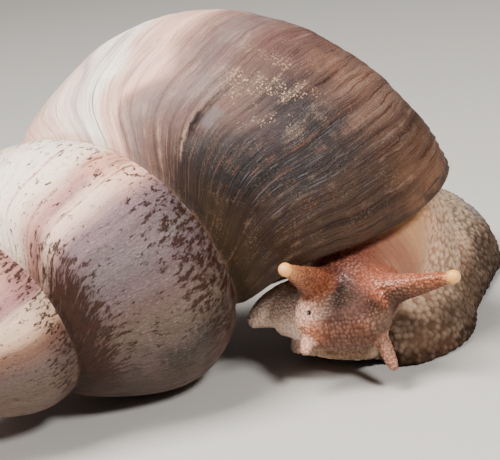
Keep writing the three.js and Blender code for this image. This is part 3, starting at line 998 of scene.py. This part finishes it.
def foot_body(count):
    """The whole foot, flat below and on the floor where its stations are."""
    at, along = course(FOOT, count)
    half, _ = course([(*p, 0) for p in FOOT_OUTLINE], 25)
    outline = [(u, h) for u, h, _ in half] + [(-u, h) for u, h, _ in half[-2::-1]]
    outline += [(u, 0) for u in np.linspace(-1, 1, 17)[1:-1]]
    u, h = np.array(outline).T
    width = np.where(u > 0, at[:, 3:4], at[:, 4:5]) * u
    sole = np.where(np.abs(at[:, 2]) < 0.15, 0, np.maximum(at[:, 2], 0))
    ring = at[:, None, :3] + width[..., None] * sideways(along)[:, None]
    ring[..., 2] = sole[:, None] + h * at[:, 5:6]
    return tube(ring)


def body_union(grain):
    """All lengths of the soft body joined by voxels into one closed surface."""
    parts = [
        foot_body(180),
        round_body(TRUNK, 50, 72, (1, 0.15, 0)),
        round_body(HEAD, 70, 64),
        round_body(LOBE, 40, 40),
        round_body(CHEEK, 30, 32),
    ]
    parts += [round_body(stations, 50, 28) for stations in FEELERS.values()]
    made = [mesh_object(f"length_{n}", p - ORIGIN, f) for n, (p, f) in enumerate(parts)]
    made.append(merged_copy("mantle_collar"))
    whole = bmesh.new()
    for piece in made:
        edit(piece.data, face_out)
        whole.from_mesh(piece.data)
        bpy.data.objects.remove(piece)
    mesh = bpy.data.meshes.new("skin")
    whole.to_mesh(mesh)
    whole.free()
    skin = link("skin", mesh)
    remesh = skin.modifiers.new("join", "REMESH")
    remesh.mode = "VOXEL"
    remesh.voxel_size = grain
    apply_modifiers(skin)
    return skin


def feeler_nearness(points, names, margin):
    """1 on the named feelers and 0 further off than the margin, with the share along them."""
    steps, reach, chunk_size = 60, 6, 20000
    best = np.full(len(points), 9.0)
    share = np.zeros(len(points))
    for name in names:
        at, _ = course(FEELERS[name], steps)
        middle = at[:, :3] - ORIGIN
        inside = (points > middle.min(0) - reach) & (points < middle.max(0) + reach)
        near_by = np.flatnonzero(inside.all(1))
        for chunk in np.array_split(near_by, max(1, len(near_by) // chunk_size)):
            gaps = np.linalg.norm(points[chunk, None] - middle[None], axis=2) - at[None, :, 3]
            nearest = gaps.argmin(1)
            gap = gaps[np.arange(len(chunk)), nearest]
            closer = gap < best[chunk]
            best[chunk[closer]] = gap[closer]
            share[chunk[closer]] = nearest[closer] / (steps - 1)
    return smooth(1 - best / margin), share


def relax(mesh, weight, rounds):
    """Evens the surface out, more where the weight is near 1, and hardly shrinks it."""
    points = points_of(mesh)
    a, b = edge_ends(mesh)
    count = np.bincount(a, minlength=len(points)) + np.bincount(b, minlength=len(points))
    for n in range(rounds):
        step = RELAX_IN if n % 2 == 0 else RELAX_OUT
        for axis in range(3):
            x = points[:, axis]
            total = np.bincount(a, x[b], len(points)) + np.bincount(b, x[a], len(points))
            points[:, axis] = x + step * weight * (total / count - x)
    set_points(mesh, points)


def blob(points, centre, radii, soft=0.5):
    """1 inside an ellipsoid and 0 outside, softened by a share of its radii on both sides."""
    d = np.linalg.norm((points - np.array(centre)) / np.array(radii), axis=1)
    return smooth((1 + soft - d) / (2 * soft))


RELAX_ROUNDS = 24
RELAX_IN, RELAX_OUT = 0.6, -0.4
PORE = (-1.9, -30.1, 12.5)  # the pore beside the muzzle; painted shade darkens its hollow
HOLLOWS = [
    # centre, radii, depth in millimetres
    ((1.6, -33.4, 14.9), (2.2, 2.2, 2.6), 0.55),
    ((9.0, -37.0, 13.0), (2.6, 2.6, 3.4), 0.35),
    (PORE, (0.55, 0.55, 0.55), 0.45),
]


def refine(skin):
    """Halves the mesh grain on the head and the feelers."""
    region = skin_regions(skin.data)["Face"]

    def halve(shape):
        edges = [e for e in shape.edges if min(region[v.index] for v in e.verts) > 0.4]
        bmesh.ops.subdivide_edges(shape, edges=edges, cuts=1, use_grid_fill=True)

    edit(skin.data, halve)


def sculpt(skin):
    """Folds and hollows that are larger than the tubercles."""
    points = points_of(skin.data)
    rise = np.zeros(len(points))
    for centre, radii, depth in HOLLOWS:
        rise -= depth * blob(points, centre, radii, 0.8)
    neck = blob(points, (13, -30.5, 17.5), (9, 7, 7), 0.5)
    along = points @ np.array([0.93, -0.2, 0.3])
    folds = wander(along * 2.6 + 0.6 * wander(points[:, 2] * 0.7, 3), 4)
    rise += 0.14 * neck * folds + 0.08 * neck * wander(along * 5.4, 8)
    set_points(skin.data, points + normals_of(skin.data) * rise[:, None])


def skin_regions(mesh):
    """How far each point belongs to the muzzle, the face and the smooth skin."""
    points = points_of(mesh)
    muzzle = blob(points, (0.8, -35.6, 9.2), (5.6, 4.6, 4.0), 0.35)
    face = blob(points, (3.5, -31.0, 12.5), (10.5, 10.5, 10.5), 0.35)
    feelers, _ = feeler_nearness(points, FEELERS, 1.0)
    lobe = blob(points, (0, -17, 8.5), (6.5, 7, 6), 0.35)
    face = np.maximum(np.maximum(face, feelers), lobe)
    neck = blob(points, (15.5, -30.5, 18), (8.5, 6, 6), 0.4)
    inner = smooth((points[:, 2] - 19) / 4)
    bare = np.clip(np.maximum(neck, inner) - 0.5 * blob(points, (7.5, -28, 18), (5, 5, 5)), 0, 1)
    bare = np.maximum(bare, 0.45 * lobe)
    sole = smooth(1 - points[:, 2] / 0.5)
    return {"Muzzle": muzzle * (1 - feelers), "Face": face, "Bare": np.maximum(bare, sole)}


ROW_WIDTH, ROW_HEIGHT, ROW_DEPTH = 0.5, 0.66, 1.4  # of the muzzle's tubercles, in millimetres


def tubercles(g, place, region, settings):
    """Relief from 0 to 1 of the tubercles, the same in the mesh and in the material."""
    per_metre = 1 / MM
    warp = g.noise(place, 330.0)[1]
    place = g.added(place, g.scaled(warp, 0.0004))
    across = g.dot(place, (0.75, -0.66, 0.0)) * (per_metre / ROW_WIDTH)
    depth = g.dot(place, (0.66, 0.75, 0.0)) * (per_metre / ROW_DEPTH)
    up = g.split(place)[2] * (per_metre / ROW_HEIGHT)
    rows = g.vector(across, up, depth)
    shape = g.domes(place, 1 / settings.coarse, 0.85)
    shape = shape + region["Face"] * (g.domes(place, 1 / settings.fine, 0.8) - shape)
    shape = shape + region["Muzzle"] * (g.domes(rows, 1.0, 0.65) - shape)
    return shape * (1 - 0.85 * region["Bare"])


def tubercle_tree(settings):
    """Geometry Nodes tree that raises the tubercles along the normals."""
    tree = bpy.data.node_groups.new("raise_tubercles", "GeometryNodeTree")
    sockets = tree.interface
    sockets.new_socket("Geometry", in_out="INPUT", socket_type="NodeSocketGeometry")
    height = sockets.new_socket("Height", in_out="INPUT", socket_type="NodeSocketFloat")
    height.default_value = settings.height
    finish = sockets.new_socket("Material", in_out="INPUT", socket_type="NodeSocketMaterial")
    sockets.new_socket("Geometry", in_out="OUTPUT", socket_type="NodeSocketGeometry")
    g = Graph(tree)
    surface, rise, material = g.node("NodeGroupInput")[:3]
    place = g.node("GeometryNodeInputPosition")[0]
    region = {}
    for name in REGIONS:
        region[name] = g.node("GeometryNodeInputNamedAttribute", {"data_type": "FLOAT"}, {"Name": name})[0]
    raised = tubercles(g, place, region, settings)
    normal = g.node("GeometryNodeInputNormal")[0]
    offset = g.scaled(normal, (raised - 0.6) * (1 - 0.8 * region["Face"]) * rise)
    moved = g.node("GeometryNodeSetPosition", None, {"Geometry": surface, "Offset": offset})[0]
    whole = g.node("GeometryNodeRealizeInstances", None, {0: moved})[0]
    dressed = g.node("GeometryNodeSetMaterial", None, {"Geometry": whole, "Material": material})[0]
    g.node("NodeGroupOutput", None, {0: dressed})
    return tree, height.identifier, finish.identifier


def set_regions(mesh):
    """Writes the regions as point attributes, which the tubercles read."""
    for name, values in skin_regions(mesh).items():
        set_attribute(mesh, name, values)


def raise_tubercles(skin, settings, material):
    """Runs the tubercle tree on the skin and keeps its result as a plain mesh."""
    set_regions(skin.data)
    tree, height, finish = tubercle_tree(settings)
    modifier = skin.modifiers.new("tubercles", "NODES")
    modifier.node_group = tree
    modifier[height] = settings.height
    modifier[finish] = material
    mesh = apply_modifiers(skin)
    set_points(mesh, points_of(mesh))


def cut_shell(skin):
    """Takes the skin away where the shell is."""
    for name in SHELL_NODES[:3]:
        cutter = merged_copy(name)
        cut = skin.modifiers.new("cut", "BOOLEAN")
        cut.operation = "DIFFERENCE"
        cut.solver = "MANIFOLD"
        cut.object = cutter
        apply_modifiers(skin)
        bpy.data.objects.remove(cutter)
    keep_largest(skin)


def keep_largest(made):
    """Drops loose bits, keeping the connected part with the most points."""
    a, b = edge_ends(made.data)
    label = np.arange(len(made.data.vertices))
    settled = False
    while not settled:
        low = np.minimum(label[a], label[b])
        fresh = label.copy()
        np.minimum.at(fresh, a, low)
        np.minimum.at(fresh, b, low)
        fresh = fresh[fresh]
        settled = (fresh == label).all()
        label = fresh
    largest = np.bincount(label).argmax()

    def drop_loose(shape):
        loose = [v for v, kept in zip(shape.verts, label == largest) if not kept]
        bmesh.ops.delete(shape, geom=loose, context="VERTS")

    edit(made.data, drop_loose)


def thin_out(skin):
    """Fewer triangles on the far side and the sole, the full count on head, neck and flank."""
    mesh = skin.data
    points = points_of(mesh)
    kept = blob(points, (2, -30, 12), (14, 17, 14), 0.25)
    kept = np.maximum(kept, 0.9 * blob(points, (30, -25, 8), (24, 16, 16), 0.3))
    kept = kept * smooth(points[:, 2] / 0.6)
    plain = skin.vertex_groups.new(name="plain")
    level = np.round((1 - kept) * 10).astype(int)
    for k in range(11):
        plain.add(np.flatnonzero(level == k).tolist(), k / 10, "REPLACE")
    count = sum(len(p.vertices) - 2 for p in mesh.polygons)
    reduce = skin.modifiers.new("thin", "DECIMATE")
    reduce.ratio = min(1.0, SKIN_TRIANGLES / count)
    reduce.vertex_group = plain.name
    reduce.vertex_group_factor = 4.0
    reduce.use_collapse_triangulate = True
    apply_modifiers(skin)
    skin.vertex_groups.clear()


SHADE_TOP, FRINGE_TOP = 10.5, 3.2  # heights where painted shade begins on the lower flank over its browner skin, and where the brown fringe of the margin begins
PALE_FLANK = (182, 152, 126)
FLANK_ZONES = [
    # centre, radii, colour, strength, softness
    # painted shade: the far flank darker where it turns away from the light
    ((60, -5, 6), (17, 15, 15), (124, 108, 92), 0.9, 0.3),
    # painted reflection: blue-grey where the top edge of the far flank reflects the sky
    ((62, -5, 8), (5, 5, 3), (108, 108, 112), 0.7, 0.5),
    ((58, -12, 2.4), (5, 5, 4), (140, 98, 84), 0.8, 0.5),
    # painted shade: the darkest part of the far flank
    ((51, -15, 5), (4, 4, 3.5), (76, 62, 58), 0.8, 0.5),
]
HEAD_ZONES = [
    ((13, -31, 18), (10, 8, 7), (152, 102, 80), 0.95, 0.35),
    ((22, -30, 18.5), (5, 5, 6), (188, 144, 104), 0.9, 0.5),
    ((25, -29.5, 15.5), (4, 4, 4), (208, 166, 138), 0.8, 0.6),
    ((3, -32, 11.5), (8.5, 8.5, 8), (122, 72, 54), 0.95, 0.3),
    ((7, -28.4, 18), (5.5, 5, 4.5), (136, 80, 64), 0.9, 0.4),
    ((5.6, -33, 17), (3.2, 3.0, 2.2), (172, 114, 100), 0.8, 0.6),
    ((0.3, -34.9, 9.0), (5.6, 4.2, 3.6), (88, 54, 40), 0.95, 0.4),
    ((-2.4, -31.6, 9.6), (1.6, 2.4, 2.6), (130, 80, 60), 0.6, 0.8),
    # painted shade: the next four zones darken the hollow between the upper feelers down to the crease
    # above the muzzle, near black at its deepest
    ((3.0, -31.0, 16.8), (1.9, 2.2, 1.9), (84, 58, 60), 0.85, 0.6),
    ((2.6, -33.6, 14.6), (3.4, 2.8, 2.6), (62, 46, 52), 0.9, 0.6),
    ((0.8, -34.2, 12.8), (4.8, 3.4, 1.7), (60, 38, 36), 0.9, 0.5),
    ((1.6, -32.8, 14.5), (2.3, 2.3, 2.1), (8, 4, 6), 1.0, 0.5),
    ((-2.0, -28.4, 13.2), (3.4, 3.4, 3.6), (206, 164, 144), 0.88, 0.7),
    # the lobe's own pale colour, raised further by painted light where the shell shades it
    ((0.5, -20.0, 9.2), (6.0, 8.0, 6.0), (246, 214, 194), 0.95, 0.3),
    ((-1.5, -16.0, 6.4), (5.0, 5.0, 1.3), (140, 100, 80), 0.8, 0.6),
    ((5.4, -38.0, 10.4), (2.6, 2.4, 3.0), (84, 68, 58), 0.9, 0.6),
    # painted shade: the next two zones darken the crease under the base of the upper left feeler
    ((8.6, -37.0, 12.0), (2.4, 2.4, 2.4), (84, 58, 46), 0.8, 0.6),
    ((4.6, -37.0, 12.8), (2.0, 1.8, 1.3), (48, 20, 12), 0.95, 0.6),
    ((-3.2, -31.2, 9.6), (1.3, 1.5, 1.6), (176, 106, 70), 0.7, 0.9),
    # painted shade filling the pore's hollow
    (PORE, (0.45, 0.45, 0.45), (14, 8, 7), 1.0, 0.3),
]


def paint(skin):
    """Colour of the skin at each point, from its zones, feelers and margin, with painted shade and light
    among them, and how wet it is.
    """
    points = points_of(skin.data)
    _, y, z = points.T
    colour = np.tile(np.array(tone(*PALE_FLANK)), (len(points), 1))

    def lay(weight, *channels):
        colour[:] += weight[:, None] * (np.array(tone(*channels)) - colour)

    def lay_zones(zones):
        for centre, radii, channels, strength, soft in zones:
            lay(strength * blob(points, centre, radii, soft), *channels)

    mottle = 0.5 + 0.5 * wander(points @ np.array([0.5, 0.3, 0.4]) + wander(z, 4), 6)
    lay(0.3 * mottle, 156, 132, 116)
    behind = smooth((y + 2) / 8)
    lay(0.75 * behind, 128, 102, 86)
    lay_zones(FLANK_ZONES)
    away = np.maximum(smooth((points[:, 0] - 7) / 5), smooth((y + 10) / 8))
    # painted shade on the lower flank, over its browner skin
    lay(0.92 * smooth((SHADE_TOP - z) / 5.5) * away * (1 - 0.6 * behind), 66, 52, 40)
    lay(0.95 * smooth((FRINGE_TOP - z) / 2) * away, 42, 28, 18)
    lay_zones(HEAD_ZONES)
    right, share = feeler_nearness(points, ("upper_right",), 1.2)
    lay(right * smooth((share - 0.06) / 0.3) * 0.9, 120, 64, 40)
    lay(right * smooth((share - 0.55) / 0.3) * 0.8, 206, 140, 92)
    left, share = feeler_nearness(points, ("upper_left",), 1.6)
    # the upper left feeler: dark red-brown with painted shade below, lightened by painted light on the
    # faces that turn up
    painted_top_light = smooth(normals_of(skin.data)[:, 2] * 1.5 - 0.1)
    lay(left * smooth((share - 0.02) / 0.1), 46, 18, 10)
    lay(left * painted_top_light * smooth((share - 0.05) / 0.15) * 0.85, 168, 98, 76)
    lay(left * smooth((share - 0.4) / 0.3) * 0.6, 150, 88, 58)
    lay(left * smooth((share - 0.72) / 0.22), 232, 166, 112)
    # painted light and shade: the lower right feeler gets a lit colour and the lower left one a shaded
    # colour of the same skin
    for name, channels in (("lower_right", (200, 154, 136)), ("lower_left", (146, 106, 88))):
        lower, share = feeler_nearness(points, (name,), 0.8)
        lay(lower * smooth((share - 0.1) / 0.25), *channels)
    set_attribute(skin.data, "Tint", colour, "FLOAT_COLOR")
    wet = np.maximum(blob(points, (3, -31, 13), (9, 9, 9), 0.4), np.maximum(right, left))
    wet *= 1 - 0.95 * blob(points, (2.4, -33.6, 13.8), (3.6, 3.4, 3), 0.4)
    wet *= 1 - 0.8 * blob(points, (3.6, -36.6, 11.2), (2.6, 2.6, 2.6), 0.5)
    set_attribute(skin.data, "Wet", wet)
    set_regions(skin.data)


def skin_material(settings):
    """Wet skin: tubercle tops paler, partly their own colour and partly painted highlight, grooves between
    them darker, partly their own colour and partly painted shade, and a gloss where it is wettest.
    """
    material, g = new_material("wet_skin")
    place = g.place()
    tint = g.attribute("Tint")[0]
    region = {name: g.attribute(name)[2] for name in REGIONS}
    wet = g.attribute("Wet")[2]
    raised = tubercles(g, place, region, settings)
    pores = g.noise(place, 2600.0, 3.0, 0.6)[0]
    cloud = g.noise(place, 230.0, 4.0, 0.6)[0]
    patch = g.noise(place, 70.0, 3.0)[0]
    groove_and_shade = g.step(raised, 0.5, 0.05) * (1 - 0.85 * region["Bare"])
    # a lighter copy of the tint for the tubercle tops, partly their own paler colour and partly painted
    # highlight
    pale = Paint(g, g.mix(0.75, tint, (1.6, 1.5, 1.45, 1), "MULTIPLY"))
    pale.lay(0.06, 244, 222, 204)
    coat = Paint(g, tint)
    # darker grooves: partly their own colour, partly painted shade between the tubercles
    coat.darken(groove_and_shade * 0.6, 0.42, 0.32, 0.28)
    # the tops take the lighter copy: painted highlight over their own paler colour
    top = g.step(raised, 0.5, 0.95) * g.step(cloud, 0.34, 0.6) * (1 - region["Bare"])
    coat.colour = g.mix(top * 0.8, coat.colour, pale.colour)
    coat.lay(g.step(patch, 0.5, 0.7) * 0.25, 118, 84, 64)
    coat.lay(g.step(pores, 0.58, 0.7) * 0.2, 84, 58, 46)
    height = raised * (1 - 0.45 * region["Face"]) + 0.06 * pores
    rough = settings.roughness + 0.22 * (1 - wet) + 0.15 * (pores - 0.5) + 0.15 * groove_and_shade
    constants = {
        "IOR": 1.4,
        "Specular IOR Level": 0.14,
        "Coat Roughness": 0.08,
        "Subsurface Weight": 0.12,
        "Subsurface Radius": (1.0, 0.45, 0.25),
        "Subsurface Scale": 0.0006,
    }
    varying = {
        "Base Color": coat.colour,
        "Roughness": rough.limited(),
        "Coat Weight": 0.26 * wet,
        "Normal": bump(g, height, 0.00028),
    }
    finish_material(g, constants, varying)
    return material


class SNAIL_OT_skin(bpy.types.Operator):
    """Builds the soft body as one skin, from the foot to the feelers"""

    bl_idname = "snail.skin"
    bl_label = "Skin"

    def execute(self, context):
        settings = context.scene.snail_skin
        skin = body_union(settings.grain)
        feelers, share = feeler_nearness(points_of(skin.data), FEELERS, 0.6)
        relax(skin.data, 1 - 0.85 * feelers * smooth((share - 0.3) / 0.2), RELAX_ROUNDS)
        sculpt(skin)
        refine(skin)
        raise_tubercles(skin, settings, skin_material(settings))
        cut_shell(skin)
        thin_out(skin)
        paint(skin)
        shade_smooth(skin.data)
        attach(skin, "root")
        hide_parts(*SKIN_NODES)
        return {"FINISHED"}


# ---- eye tips ------------------------------------------------------------------------------------
class SnailEyeSettings(bpy.types.PropertyGroup):
    radius: bpy.props.FloatProperty(
        name="Radius",
        description="Radius of each eye tip",
        default=0.001, min=0.0004, max=0.002, unit="LENGTH",
    )
    colour: bpy.props.FloatVectorProperty(
        name="Colour",
        description="Colour of the eye tips",
        default=tone(230, 168, 92)[:3], min=0.0, max=1.0, subtype="COLOR",
    )


def eye_mesh(name, stations, radius):
    """A bulb on the end of a feeler, longer along it and narrowing where it joins."""
    rows, sides, pole = 25, 32, 0.02
    before, tip = (np.array(station[:3]) - ORIGIN for station in stations[-2:])
    along = (tip - before) / np.linalg.norm(tip - before)
    side = np.cross(along, (0, 0, 1))
    side = side / np.linalg.norm(side)
    up = np.cross(side, along)
    polar = np.linspace(pole, math.pi - pole, rows)
    turn = np.linspace(0, TAU, sides, endpoint=False)
    reach = radius * (1.12 * np.cos(polar))
    wide = radius * np.sin(polar) * (1 - 0.12 * smooth((polar - 1.9) / 1.0))
    ring = np.cos(turn)[:, None] * side + np.sin(turn)[:, None] * up
    points, faces = tube(tip + reach[:, None, None] * along + wide[:, None, None] * ring)
    made = mesh_object(name, points, faces)
    edit(made.data, face_out)
    spot = smooth((np.cos(0.55) - ((points - tip) @ along) / (1.06 * radius)) / -0.1)
    set_attribute(made.data, "Spot", spot)
    shade_smooth(made.data)
    return made


def eye_material(settings):
    """Amber eye tips, paler round the spot at the end."""
    material, g = new_material("eye_tip")
    cloud = g.noise(g.place(), 1500.0, 3.0)[0]
    paint = Paint(g, (*settings.colour, 1.0))
    paint.lay(g.step(cloud, 0.35, 0.7) * 0.35, 214, 148, 88)
    paint.lay(g.attribute("Spot")[2] * 0.35, 196, 170, 140)
    constants = {
        "IOR": 1.4,
        "Subsurface Weight": 0.3,
        "Subsurface Radius": (1.0, 0.5, 0.25),
        "Subsurface Scale": 0.0008,
    }
    varying = {
        "Base Color": paint.colour,
        "Roughness": (0.24 + 0.1 * cloud).limited(),
        "Normal": bump(g, cloud, 0.00006, 0.5),
    }
    finish_material(g, constants, varying)
    return material


class SNAIL_OT_eyes(bpy.types.Operator):
    """Builds the two eye tips on the upper feelers"""

    bl_idname = "snail.eyes"
    bl_label = "Eye tips"

    def execute(self, context):
        settings = context.scene.snail_eyes
        material = eye_material(settings)
        for side in ("right", "left"):
            eye = eye_mesh(f"eye_tip_{side}", FEELERS[f"upper_{side}"], settings.radius / MM)
            eye.data.materials.append(material)
            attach(eye, "root")
            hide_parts(f"eye_{side}")
        return {"FINISHED"}


# ---- stage ---------------------------------------------------------------------------------------
# The camera's place, and the picture's right, down and depth as directions in the frame.
CAMERA_PLACE = Vector((-177.6, -232.85, 97.732)) * MM
CAMERA_RIGHT = Vector((0.746866, -0.654472, -0.117717))
CAMERA_DOWN = Vector((-0.257244, -0.121119, -0.958726))
CAMERA_AHEAD = Vector((0.613201, 0.746322, -0.258819))
KEY_PLACE = (-0.27, 0.03, 0.53)
FRONT_PLACE = (-0.12, -0.52, 0.4)
LIGHT_AIM = Vector((0, -0.01, 0.02))
FRONT_SHARE = 0.55  # of the key light's power
FLOOR_SIZE = 3.0


class SnailStageSettings(bpy.types.PropertyGroup):
    lens: bpy.props.FloatProperty(
        name="Lens",
        description="Focal length of the camera on a 36 mm sensor, in millimetres",
        default=140.96, min=20.0, max=400.0, unit="CAMERA",
    )
    key: bpy.props.FloatProperty(
        name="Key light",
        description="Power of the main soft light",
        default=9.0, min=0.0, max=100.0, unit="POWER",
    )
    floor: bpy.props.FloatVectorProperty(
        name="Floor",
        description="Colour of the floor",
        default=(0.5, 0.49, 0.47), min=0.0, max=1.0, subtype="COLOR",
    )


def area_light(name, place, power, size, colour):
    """A soft light that faces the middle of the model."""
    data = bpy.data.lights.new(name, "AREA")
    data.energy = power
    data.size = size
    data.color = colour
    light = link(name, data)
    light.location = place
    light.rotation_euler = (LIGHT_AIM - light.location).to_track_quat("-Z", "Y").to_euler()


def build_floor(settings):
    """The pale floor, which is part of the stage."""
    grid = bmesh.new()
    bmesh.ops.create_grid(grid, x_segments=24, y_segments=24, size=FLOOR_SIZE)
    mesh = bpy.data.meshes.new("floor")
    grid.to_mesh(mesh)
    grid.free()
    floor = link("floor", mesh)
    material, g = new_material("pale_floor")
    cloud = g.noise(g.place(), 6.0, 3.0)[0]
    plain = (*settings.floor, 1.0)
    deeper = (*[c * 0.94 for c in settings.floor], 1.0)
    finish_material(g, {"Roughness": 0.9}, {"Base Color": g.mix(cloud, plain, deeper)})
    mesh.materials.append(material)


def build_camera(lens):
    """The scene's camera, three quarters from the front and a little above."""
    data = bpy.data.cameras.new("camera")
    data.sensor_width = 36
    data.lens = lens
    data.clip_start = 0.01
    camera = link("camera", data)
    turned = Matrix((CAMERA_RIGHT, -CAMERA_DOWN, -CAMERA_AHEAD)).transposed().to_4x4()
    camera.matrix_world = Matrix.Translation(CAMERA_PLACE) @ turned
    bpy.context.scene.camera = camera


class SNAIL_OT_stage(bpy.types.Operator):
    """Makes the floor, the soft lights and the camera"""

    bl_idname = "snail.stage"
    bl_label = "Stage"

    def execute(self, context):
        settings = context.scene.snail_stage
        build_floor(settings)
        area_light("key", KEY_PLACE, settings.key, 0.3, (1, 0.95, 0.88))
        area_light("front", FRONT_PLACE, settings.key * FRONT_SHARE, 0.1, (1, 0.97, 0.93))
        world = bpy.data.worlds.new("soft_sky")
        world.use_nodes = True
        sky = world.node_tree.nodes["Background"].inputs
        sky["Color"].default_value = (0.9, 0.93, 1.0, 1.0)
        sky["Strength"].default_value = 0.1
        context.scene.world = world
        build_camera(settings.lens)
        return {"FINISHED"}


# ---- panel and running ---------------------------------------------------------------------------
# Each name is also its operator's, with a dot for the underscore.
SETTINGS = {
    "snail_shell": SnailShellSettings,
    "snail_skin": SnailSkinSettings,
    "snail_eyes": SnailEyeSettings,
    "snail_stage": SnailStageSettings,
}


class SNAIL_PT_panel(bpy.types.Panel):
    """Lists the parts of the model in the sidebar"""

    bl_label = "Giant land snail"
    bl_idname = "SNAIL_PT_panel"
    bl_space_type = "VIEW_3D"
    bl_region_type = "UI"
    bl_category = "Snail"

    def draw(self, context):
        for name in SETTINGS:
            box = self.layout.box()
            settings = getattr(context.scene, name)
            for field in settings.__annotations__:
                box.prop(settings, field)
            box.operator(name.replace("_", "."))


CLASSES = (
    *SETTINGS.values(),
    SNAIL_OT_shell,
    SNAIL_OT_skin,
    SNAIL_OT_eyes,
    SNAIL_OT_stage,
    SNAIL_PT_panel,
)


def register():
    for cls in CLASSES:
        bpy.utils.register_class(cls)
    for name, cls in SETTINGS.items():
        setattr(bpy.types.Scene, name, bpy.props.PointerProperty(type=cls))


def unregister():
    for name in SETTINGS:
        delattr(bpy.types.Scene, name)
    for cls in reversed(CLASSES):
        bpy.utils.unregister_class(cls)


def main():
    """Builds the model and the stage."""
    register()
    bpy.ops.snail.shell()
    bpy.ops.snail.skin()
    bpy.ops.snail.eyes()
    bpy.ops.snail.stage()


if __name__ == "__main__":
    main()
